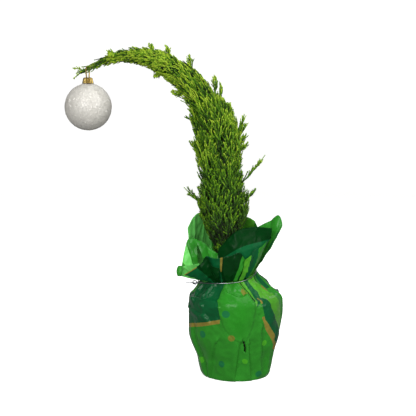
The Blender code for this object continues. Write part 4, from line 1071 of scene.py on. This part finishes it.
def boughs():
    """Boughs root on the stem in rows and columns of each mass's slice, jittered, lean out steeply at
    first and then turn up along the slanting cone to the crown's outline. A cord is a start, a slope and
    a bend, with its tier and its chance of a fresher green."""
    found = []
    for _, tier, low, high, start, end in mass_slices():
        reach = crown_outline((low + high) / 2)
        spacing = BOUGH_SPACING * np.clip(reach / FULL_REACH, LEAST_SHARE[0], 1)
        rows = max(2, round((high - low) / spacing))
        columns = max(3, round((end - start) * 0.84 * reach / spacing))
        row, column = np.meshgrid(np.arange(rows), np.arange(columns), indexing="ij")
        up = (row.ravel() + foliage_rng.uniform(*JITTER, row.size)) / rows
        round_stem = (column.ravel() + foliage_rng.uniform(*JITTER, row.size)) / columns
        found.append(np.stack([low + (high - low) * up, start + (end - start) * round_stem,
                               np.full(row.size, tier)], -1))
    w, angle, tier = np.vstack(found).T
    tip = crown_outline(w, np.cos(angle)) * foliage_rng.uniform(*TIP_SPREAD, len(w)) - LEAF_LENGTH * 0.7
    tip *= 1 + TUFT_REACH * waves(by_stem(w + SHOOT_SLOPE * tip, tip, angle), TUFT_SIZE, 51)
    tip = np.maximum(tip, stem_radius(w) + 0.001)
    root = stem_radius(w) * BOUGH_ROOT
    swing = foliage_rng.normal(0, BOUGH_SWING, len(w))
    middle = root + BOUGH_RISE * (tip - root)
    first = by_stem(w + SHOOT_SLOPE * root, root, angle)
    halfway = by_stem(w + SHOOT_SLOPE * (root + 0.5 * (tip - root)), middle, angle + swing * 0.4)
    last = by_stem(w + SHOOT_SLOPE * tip, tip, angle + swing)
    return (*curve(first, halfway, last), tier.astype(int), foliage_rng.normal(0, GREEN_CHANCE, len(w)))


def strays():
    """The longer boughs that stand out of the outline, each from the stem to its own tip."""
    tips = np.array([(x, 0.0, z) for x, z in STRAY_TIPS])
    tips[:, 1] = foliage_rng.normal(0, STRAY_DEPTH, len(tips))
    s, r = nearest_on_stem(tips)
    foot = s - STRAY_SLOPE * r * (1 + smooth_step(s, *STRAY_STEEPER))
    centre, way, _ = stem_frame(foot)
    away = unit(tips - centre - way * ((tips - centre) * way).sum(-1, keepdims=True))
    first = centre + away * stem_radius(foot)[:, None] * BOUGH_ROOT
    middle = (first + tips) / 2 + away * (STRAY_ARCH * r)[:, None]
    starts = np.array([low for _, _, low, _, _, _ in mass_slices()])
    tiers = np.array([tier for _, tier, *_ in mass_slices()])
    nearest = np.clip(np.searchsorted(starts, foot, "right") - 1, 0, len(tiers) - 1)
    return (*curve(first, middle, tips), tiers[nearest], np.full(len(tips), STRAY_TONE))


def along_cord(cord, which, share):
    """Points and unit directions at shares of the cords' length, by their parabolas."""
    start, slope, bend = (column[which] for column in cord[:3])
    share = share[:, None]
    return start + share * slope + share ** 2 * bend, unit(slope + 2 * share * bend)


def cord_lengths(cord):
    """Length of each cord, as the two chords of its parabola."""
    _, slope, bend = cord[:3]
    half = slope / 2 + bend / 4
    return np.linalg.norm(half, axis=1) + np.linalg.norm(slope + bend - half, axis=1)


def side_shoots(cord, count, first, last, length, lean):
    """Shoots that leave each cord turn and turn about on its two sides, a little outwards, at an even
    spacing. Each is a parabola that sets off at the lean and turns up along the stem, and they grow
    shorter towards the cord's tip."""
    total = len(cord[0])
    which = np.repeat(np.arange(total), count)
    step = np.tile(np.arange(count), total)
    share = first + (last - first) * (step + foliage_rng.uniform(*JITTER, len(step))) / count
    root, way = along_cord(cord, which, share)
    s, _ = nearest_on_stem(root)
    centre, up_stem, _ = stem_frame(s)
    away = unit(root - centre)
    away = unit(away - way * (away * way).sum(-1, keepdims=True))
    side = np.cross(way, away)
    hand = np.where((step + np.repeat(foliage_rng.integers(0, 2, total), count)) % 2 == 0, 1.0, -1.0)
    roll = foliage_rng.uniform(*SHOOT_ROLL, len(step))
    turned_out = side * (hand * np.cos(roll))[:, None] + away * np.sin(roll)[:, None]
    slim = np.clip(np.interp(s, stem_marks, crown_reach) / FULL_REACH, LEAST_SHARE[1], 1)
    hanging = smooth_step(s, *HANGING)
    lean = lean * foliage_rng.uniform(*SHOOT_LEANS, len(step)) * (1 + HANGING_SPREAD * hanging)
    heading = way * np.cos(lean)[:, None] + turned_out * np.sin(lean)[:, None]
    shorter = 1 - 0.5 * (share - first) / (last - first)
    size = (length * slim * shorter * foliage_rng.uniform(*SHOOT_SIZES, len(step)))[:, None]
    tone = cord[4][which] + foliage_rng.normal(0, GREEN_CHANCE, len(step))
    sway = side * foliage_rng.normal(0, SHOOT_SWAY, (len(step), 1))
    pull = (UPWARD_PULL * (1 - HANGING_PULL * hanging))[:, None]
    return root, heading * size, ((up_stem - heading) * pull + sway) * size, cord[3][which], tone


def within_reach(cord, room):
    """The cords whose tips stay in the crown's outline, give or take the room, and off the bauble. The
    room grows towards the hanging end, where single shoots stand out."""
    tips = cord[0] + cord[1] + cord[2]
    s, r = nearest_on_stem(tips)
    centre, _, outer = stem_frame(s)
    lean = ((tips - centre) * outer).sum(-1) / np.maximum(r, 1e-6)
    room = room + OUTSTANDING_ROOM * smooth_step(s, *OUTSTANDING)
    inside = r < crown_side(s, lean) * room
    inside &= tips[:, 0] > BAUBLE_X + LOOP_CLEARANCE * (lean < 0.3)
    return tuple(column[inside] for column in cord)


def joined(*cords):
    """Several groups of cords as one."""
    return tuple(np.concatenate(columns) for columns in zip(*cords))


def cord_tubes(cord, steps, radius):
    """Three-sided tubes along the cords, tapering to a third at the tip, as corners and faces."""
    total = len(cord[0])
    share = np.tile(np.linspace(0, 1, steps + 1), total)
    which = np.repeat(np.arange(total), steps + 1)
    centre, way = along_cord(cord, which, share)
    corners = centre[:, None] + rings(way, CORD_LEVEL, 3) * (radius * (1 - CORD_TAPER * share))[:, None, None]
    quads = grid_faces(steps + 1, 3, True)
    faces = (np.arange(total)[:, None, None] * 3 * (steps + 1) + quads).reshape(-1, 4)
    return corners.reshape(-1, 3), faces


def scale_leaves(cord, green, bare):
    """Pressed leaves in opposite pairs, each pair turned a quarter from the last. A leaf is a keeled
    spike of three faces: two corners beside the cord, one on its keel, and its free tip. Returns the
    corners, the faces and each face's green: a step fresher at a cord's tip, and darker at its foot,
    partly as older leaves are and partly as painted shade."""
    lengths = cord_lengths(cord)
    pairs = np.maximum(2, np.round(lengths * (1 - bare) / LEAF_SPACING)).astype(int)
    which = np.repeat(np.arange(len(pairs)), pairs)
    place = np.arange(len(which)) - np.repeat(np.cumsum(pairs) - pairs, pairs)
    share = bare + (1 - bare) * (place + 0.6) / pairs[which]
    centre, way = along_cord(cord, which, share)
    side = unit(np.cross(way, CORD_LEVEL))
    other = np.cross(way, side)
    turn = (place % 2) * math.pi / 2 + foliage_rng.uniform(-LEAF_TWIST, LEAF_TWIST, len(place))
    size = LEAF_LENGTH * (1.05 - 0.15 * share) * foliage_rng.uniform(*LEAF_SIZES, len(place))
    lean = LEAF_LEAN * (0.9 + 0.4 * share)
    corners = []
    for facing in (0, math.pi):
        out = side * np.cos(turn + facing)[:, None] + other * np.sin(turn + facing)[:, None]
        across = np.cross(way, out)
        tip = centre + (way * np.cos(lean)[:, None] + out * np.sin(lean)[:, None]) * size[:, None]
        keel = centre + out * LEAF_WIDTH * LEAF_KEEL
        corners.append(np.stack([centre + across * LEAF_WIDTH / 2, keel, centre - across * LEAF_WIDTH / 2,
                                 tip], 1))
    corners = np.stack(corners, 1).reshape(-1, 3)
    spike = np.array([(0, 1, 3), (1, 2, 3), (2, 0, 3)])
    faces = (np.arange(len(corners) // 4)[:, None, None] * 4 + spike[:, ::-1]).reshape(-1, 3)
    shaded = np.where(cord[3][which] < TIERS, SHADED_FOOT, 0.0)
    shade = green[which] + (share > FRESH_TIP) - (share < shaded) - (share < 0.45 * shaded)
    return corners, faces, np.repeat(np.clip(shade, 0, len(FOLIAGE_GREENS) - 1), 2 * len(spike))


def dealt_greens(cord, level):
    """A green for each cord: darkest inside the crown and lightest at its outline, which is painted
    shade, and lighter towards the hanging tip. A bough's sprays share its own part of the chance, so they
    differ as wholes."""
    middle, _ = along_cord(cord, np.arange(len(cord[0])), np.full(len(cord[0]), 0.6))
    s, r = nearest_on_stem(middle)
    centre, _, outer = stem_frame(s)
    out = r / crown_side(s, ((middle - centre) * outer).sum(-1) / np.maximum(r, 1e-6))
    out = np.where(cord[3] == TIERS, 0.95, out)
    green = (GREEN_OUTWARDS_PAINTED_SHADE * np.clip(out, 0, 1.06) ** 1.6 + GREEN_ALONG * s / stem_length + GREEN_BASE
             + GREEN_A_LEVEL * level)
    green += cord[4] * (1 + GREEN_CHANCE * smooth_step(s, *GREEN_CHANCE_GROWS))
    green -= GREEN_FOOT * (1 - smooth_step(s, *FOOT_ENDS))
    return np.clip(np.round(green), 0, 3 + 2 * smooth_step(s, *FRESH_FROM)).astype(int)


def tip_fork():
    """The two green twigs past the bauble's loop, in which the leader ends, and short shoots pressed
    close all round its last part, which hide its bark. Each is turned on from the last by the angle
    that leaves keep on a stem."""
    end = stem_frame(np.array([stem_length]))[0][0]
    s = stem_length - np.linspace(*TIP_SPAN, TIP_SHOOTS)
    angle = LEAF_TURN * np.arange(TIP_SHOOTS)
    foot = by_stem(s, stem_radius(s), angle)
    over_loop = np.abs(foot[:, 0] - BAUBLE_X) < LOOP_CLEARANCE
    spread = np.where(over_loop, UNDER_LOOP_SPREAD, foliage_rng.uniform(*TIP_SHOOT_SPREAD, TIP_SHOOTS))
    first = np.vstack([np.tile(end, (2, 1)), foot])
    tips = np.vstack([FORK_TIPS, by_stem(s + TIP_SHOOT_LENGTH, stem_radius(s) + spread, angle + 0.5)])
    middle = np.vstack([(first[:2] + tips[:2]) / 2 + FORK_ARCH,
                        by_stem(s + 0.005, stem_radius(s) + 0.6 * spread, angle + 0.25)])
    tone = np.concatenate([[1.0, 1.0], foliage_rng.normal(0.0, 0.6, TIP_SHOOTS)])
    return (*curve(first, middle, tips), np.full(TIP_SHOOTS + 2, TIERS), tone)


crown_boughs, stray_boughs, tip_boughs = boughs(), strays(), tip_fork()
twigs = within_reach(side_shoots(crown_boughs, *BOUGH_TWIGS), TWIG_ROOM)
shoots = within_reach(side_shoots(twigs, *TWIG_SHOOTS), SHOOT_ROOM)
stray_twigs = side_shoots(stray_boughs, *STRAY_TWIGS)
grown = (joined(crown_boughs, stray_boughs), joined(twigs, stray_twigs),
         joined(shoots, side_shoots(stray_twigs, *STRAY_SHOOTS)))
grown_tip = (tip_boughs, side_shoots(tuple(column[:2] for column in tip_boughs), *TIP_TWIGS))

# Scale leaves: waxy and slightly glossy, plain greens from deep in the crown to its fresh tips; the
# darker greens deep in the crown are painted shade. The twigs inside are green-brown.
leaf_greens = [new_material(f"Cypress leaf green {i + 1}", {"Base Color": linear_colour(colour),
                                                            "Roughness": 0.5, "Specular IOR Level": 0.22})
               for i, colour in enumerate(FOLIAGE_GREENS)]
twig_bark = new_material("Green cypress twig", {"Base Color": linear_colour("#3f4a20"), "Roughness": 0.7})
slot_names = ["foliage_low"] * 3 + ["foliage_middle"] * 3 + ["foliage_high"] * 3 + ["foliage_tip"]
for tier in range(TIERS + 1):
    nodes = [name for name, of_tier, *_ in mass_slices() if of_tier == tier] or ["foliage_tip"]
    label = f"tier_{tier + 1}" if tier < TIERS else "tip"
    corners, faces, greens, wood, wood_faces = [], [], [], [], []
    for level, cords in enumerate(grown if tier < TIERS else grown_tip):
        cord = tuple(column[cords[3] == tier] for column in cords)
        bare = BARE_SHARE if level == 0 and tier < TIERS else 0.0
        found = scale_leaves(cord, dealt_greens(cord, level), bare)
        faces.append(found[1] + sum(map(len, corners)))
        corners.append(found[0])
        greens.append(found[2])
        tubes, sides = cord_tubes(cord, CORD_STEPS[level], CORD_RADIUS * CORD_SHARES[level])
        wood_faces.append(sides + sum(map(len, wood)))
        wood.append(tubes)
    leaves = mesh_piece(f"leaves_{label}", np.vstack(corners), [np.vstack(faces)], leaf_greens,
                        np.concatenate(greens))
    put_on(leaves, slot_names[tier], *nodes)
    put_on(mesh_piece(f"twigs_{label}", np.vstack(wood), [np.vstack(wood_faces)], [twig_bark]),
           slot_names[tier], *nodes)


# Bauble: a blown plastic ball, lacquered pearl white and rolled in glitter, that hangs by its cap's
# loop on the tip of the stem and bends it over.
BAUBLE_Z = 0.3470
BAUBLE_RADIUS = 0.0297
BAUBLE_NECK_RADIUS = 0.0042
BAUBLE_NECK_HEIGHT = 0.0050
GLITTER_COUNT = 9500
GLITTER_SIZE = (0.0003, 0.0008)
GLITTER_TILT = math.radians(21)
GLITTER_LIFT = 0.00015
CAP_PLACE = 0.975


def turned(profile, columns, flute=0.0, flutes=0):
    """Surface of revolution of radius and height pairs, closed at both poles, with flutes that swell
    and pinch it by the given share where the profile's third value is 1."""
    profile = np.array(profile, float)
    turn = all_round(columns)
    radius = profile[:, :1] * (1 + flute * profile[:, 2:] * np.cos(flutes * turn))
    grid = np.stack([radius * np.cos(turn), radius * np.sin(turn), profile[:, 1:2] + 0 * turn], -1)
    return closed_tube(grid, [0, 0, profile[0, 1]], [0, 0, profile[-1, 1]])


def ball_profile(rows=72):
    """A sphere from its lowest point up to a short neck."""
    last = math.asin(BAUBLE_NECK_RADIUS / BAUBLE_RADIUS)
    turn = np.linspace(math.pi - 0.01, last, rows)
    ball = np.stack([BAUBLE_RADIUS * np.sin(turn), BAUBLE_RADIUS * np.cos(turn), 0 * turn], -1)
    top = ball[-1, 1] + BAUBLE_NECK_HEIGHT
    return np.vstack([ball, [[BAUBLE_NECK_RADIUS, top, 0], [BAUBLE_NECK_RADIUS - 0.001, top, 0]]])


def glitter(seed=5):
    """Square flakes at random all over the ball, each turned at random and tilted from its surface."""
    rng = np.random.default_rng(seed)
    way = unit(rng.normal(size=(GLITTER_COUNT, 3)))
    way = way[way[:, 2] < CAP_PLACE]
    side = unit(np.cross(way, rng.normal(size=way.shape)))
    other = np.cross(way, side)
    tilt = rng.normal(0, GLITTER_TILT, (2, len(way)))
    first = side * np.cos(tilt[0])[:, None] + way * np.sin(tilt[0])[:, None]
    second = other * np.cos(tilt[1])[:, None] + way * np.sin(tilt[1])[:, None]
    size = rng.uniform(*GLITTER_SIZE, len(way))[:, None, None] / 2
    square = np.array([(-1, -1), (1, -1), (1, 1), (-1, 1)])
    flat = square[:, :1] * first[:, None] + square[:, 1:] * second[:, None]
    corners = way[:, None] * (BAUBLE_RADIUS + GLITTER_LIFT) + flat * size
    return corners.reshape(-1, 3), [np.arange(len(way) * 4).reshape(-1, 4)]


# Pearl lacquer: warm white and silky. Glitter is cut polyester foil, each flake a small mirror.
pearl = new_material("Pearl lacquer", {"Base Color": linear_colour("#c6c3bb"), "Roughness": 0.42,
                                       "Coat Weight": 0.2, "Coat Roughness": 0.2})
add_bump(pearl, add_noise(pearl, size=0.0007), depth=0.0003, strength=0.6)
foil = new_material("Silver glitter foil", {"Base Color": linear_colour("#d8d5cf"), "Metallic": 0.6,
                                            "Roughness": 0.36})
bauble_place = np.array([BAUBLE_X, 0, BAUBLE_Z])
corners, faces = turned(ball_profile(), 128)
put_on(mesh_piece("bauble_ball", corners + bauble_place, faces, [pearl]), "bauble", "bauble")
corners, faces = glitter()
put_on(mesh_piece("bauble_glitter", corners + bauble_place, faces, [foil], smooth=False), "bauble", "bauble")

# Cap: a thin fluted cup pressed from gold-coloured metal foil, crimped over the ball's neck, with a
# sprung wire loop through its top.
CAP_RADIUS = 0.0064
CAP_TOP_RADIUS = 0.0050
CAP_HEIGHT = 0.0078
CAP_WALL = 0.0004
CAP_EDGE = 0.0010
CAP_GAP = 0.0003
CAP_HOLE = 0.0004
CAP_FLUTE_SHARE = 0.20
CAP_FLUTES = 8
LOOP_RADIUS = 0.0009
LOOP_HALF_WIDTH = 0.0030
LOOP_TURN = math.radians(40)
LOOP_SLACK = 0.0006


def cap_profile():
    """Inside of the top, inside of the fluted skirt, its rim, and the outside up to the top."""
    seat = math.sqrt(BAUBLE_RADIUS ** 2 - CAP_RADIUS ** 2) + CAP_GAP
    top = seat + CAP_HEIGHT
    skirt = np.linspace(0, 1, 10)
    radius = CAP_RADIUS + (CAP_TOP_RADIUS - CAP_RADIUS) * skirt ** 0.8
    height = seat + (CAP_HEIGHT - CAP_EDGE) * skirt
    inside = np.stack([radius - CAP_WALL, height, 0 * skirt + 1], -1)[::-1]
    outside = np.stack([radius, height, 0 * skirt + 1], -1)
    ceiling = [(CAP_HOLE, top - CAP_WALL, 0), (CAP_TOP_RADIUS - 0.0009, top - CAP_WALL, 0)]
    roof = [(CAP_TOP_RADIUS - 0.0002, top - 0.0004, 0.6), (CAP_TOP_RADIUS - 0.0008, top, 0),
            (CAP_TOP_RADIUS - 0.0018, top - 0.0001, 0), (CAP_HOLE, top - 0.0002, 0)]
    return np.vstack([ceiling, inside, outside, roof])


def loop_path():
    """Two legs out of the cap's top and an arch over the stem, in a plane turned round the vertical."""
    s = np.interp(-BAUBLE_X, -stem_x, stem_marks)
    hang = stem_frame(s)[0][2] + stem_radius(s) + LOOP_RADIUS + LOOP_SLACK
    foot = BAUBLE_Z + cap_profile()[:, 1].max() - CAP_GAP
    turn = np.linspace(0, math.pi, 40)
    arch = np.stack([LOOP_HALF_WIDTH * np.cos(turn), hang + LOOP_HALF_WIDTH * (np.sin(turn) - 1)], -1)
    legs = LOOP_HALF_WIDTH * 0.75
    _, route = through(np.vstack([[[legs, foot]], arch, [[-legs, foot]]]), 90)
    return np.stack([BAUBLE_X + route[:, 0] * math.sin(LOOP_TURN), route[:, 0] * math.cos(LOOP_TURN),
                     route[:, 1]], -1)


# Anodised aluminium foil: yellow gold, bright, with faint press marks about 1 mm apart.
gold = new_material("Gold anodised foil", {"Base Color": linear_colour("#7c6a3c"), "Metallic": 1.0,
                                           "Roughness": 0.15})
add_bump(gold, add_noise(gold, size=0.0010), depth=0.0002, strength=0.3)
corners, faces = turned(cap_profile(), 96, CAP_FLUTE_SHARE, CAP_FLUTES)
put_on(mesh_piece("cap_foil", corners + bauble_place, faces, [gold]), "cap", "bauble_cap")
corners, faces = wire_tube(loop_path(), LOOP_RADIUS, (math.cos(LOOP_TURN), -math.sin(LOOP_TURN), 0))
put_on(mesh_piece("cap_loop", corners, faces, [gold]), "cap", "bauble_cap")


# Studio: a white sweep, a broad soft light from above, one from the front left, a weaker one from the
# right, and a faint one from behind, which lights the film through its edges.
LIGHT_TARGET = (-0.03, 0, 0.2)
# Each light: its place, its side in metres and its power in watts.
LIGHTS = {
    "key_light": ((0.15, -0.45, 1.65), 1.0, 9.5),
    "front_light": ((-0.45, -1.35, 0.60), 0.8, 16.5),
    "right_light": ((1.0, -0.9, 0.70), 0.8, 11),
    "back_light": ((0.1, 1.0, 1.1), 1.3, 5),
}
for name, (place, size, power) in LIGHTS.items():
    light = bpy.data.lights.new(name, "AREA")
    light.size = size
    light.energy = power
    lamp = bpy.data.objects.new(name, light)
    bpy.context.scene.collection.objects.link(lamp)
    lamp.location = place
    lamp.rotation_euler = (Vector(LIGHT_TARGET) - Vector(place)).to_track_quat("-Z", "Y").to_euler()

FLOOR_RADIUS = 2.2
FLOOR_BEND = 0.8
WALL_HEIGHT = 3.5


def paper_bowl(rows=16, columns=96):
    """A round floor that curves up into a wall all round it, so that every view has a white ground."""
    bend = np.linspace(0, math.pi / 2, rows)
    radius = np.concatenate([[0.5], FLOOR_RADIUS + FLOOR_BEND * np.sin(bend), [FLOOR_RADIUS + FLOOR_BEND]])
    height = np.concatenate([[0.0], FLOOR_BEND - FLOOR_BEND * np.cos(bend), [WALL_HEIGHT]])
    radius, height, turn = radius[:, None], height[:, None], all_round(columns)
    bowl = np.stack([radius * np.cos(turn), radius * np.sin(turn), height + 0 * turn], -1)
    return np.vstack([bowl.reshape(-1, 3), [[0, 0, 0]]]), [
        grid_faces(rows + 2, columns, True, True), fan_faces((rows + 2) * columns, 0, columns)]


backdrop_white = new_material("White paper sweep", {"Base Color": (0.9, 0.9, 0.895, 1), "Roughness": 0.9,
                                                    "Emission Color": (1, 1, 0.995, 1),
                                                    "Emission Strength": 0.70})
sweep = mesh_piece("paper_sweep", *paper_bowl(), [backdrop_white])
sweep.visible_diffuse = False
sweep.visible_glossy = False
sweep.visible_shadow = False
world = bpy.context.scene.world or bpy.data.worlds.new("Studio")
bpy.context.scene.world = world
world.use_nodes = True
world.node_tree.nodes["Background"].inputs["Color"].default_value = (1, 1, 1, 1)
world.node_tree.nodes["Background"].inputs["Strength"].default_value = 0.25
bpy.context.scene.view_settings.view_transform = "Standard"

CAMERA_PLACE = (-0.0362, -1.3, 0.377)
CAMERA_TILT = math.radians(83)
CAMERA_LENS = 88.06
lens = bpy.data.cameras.new("camera")
lens.sensor_width = 36
lens.lens = CAMERA_LENS
camera = bpy.data.objects.new("camera", lens)
bpy.context.scene.collection.objects.link(camera)
camera.location = CAMERA_PLACE
camera.rotation_euler = (CAMERA_TILT, 0, 0)
bpy.context.scene.camera = camera
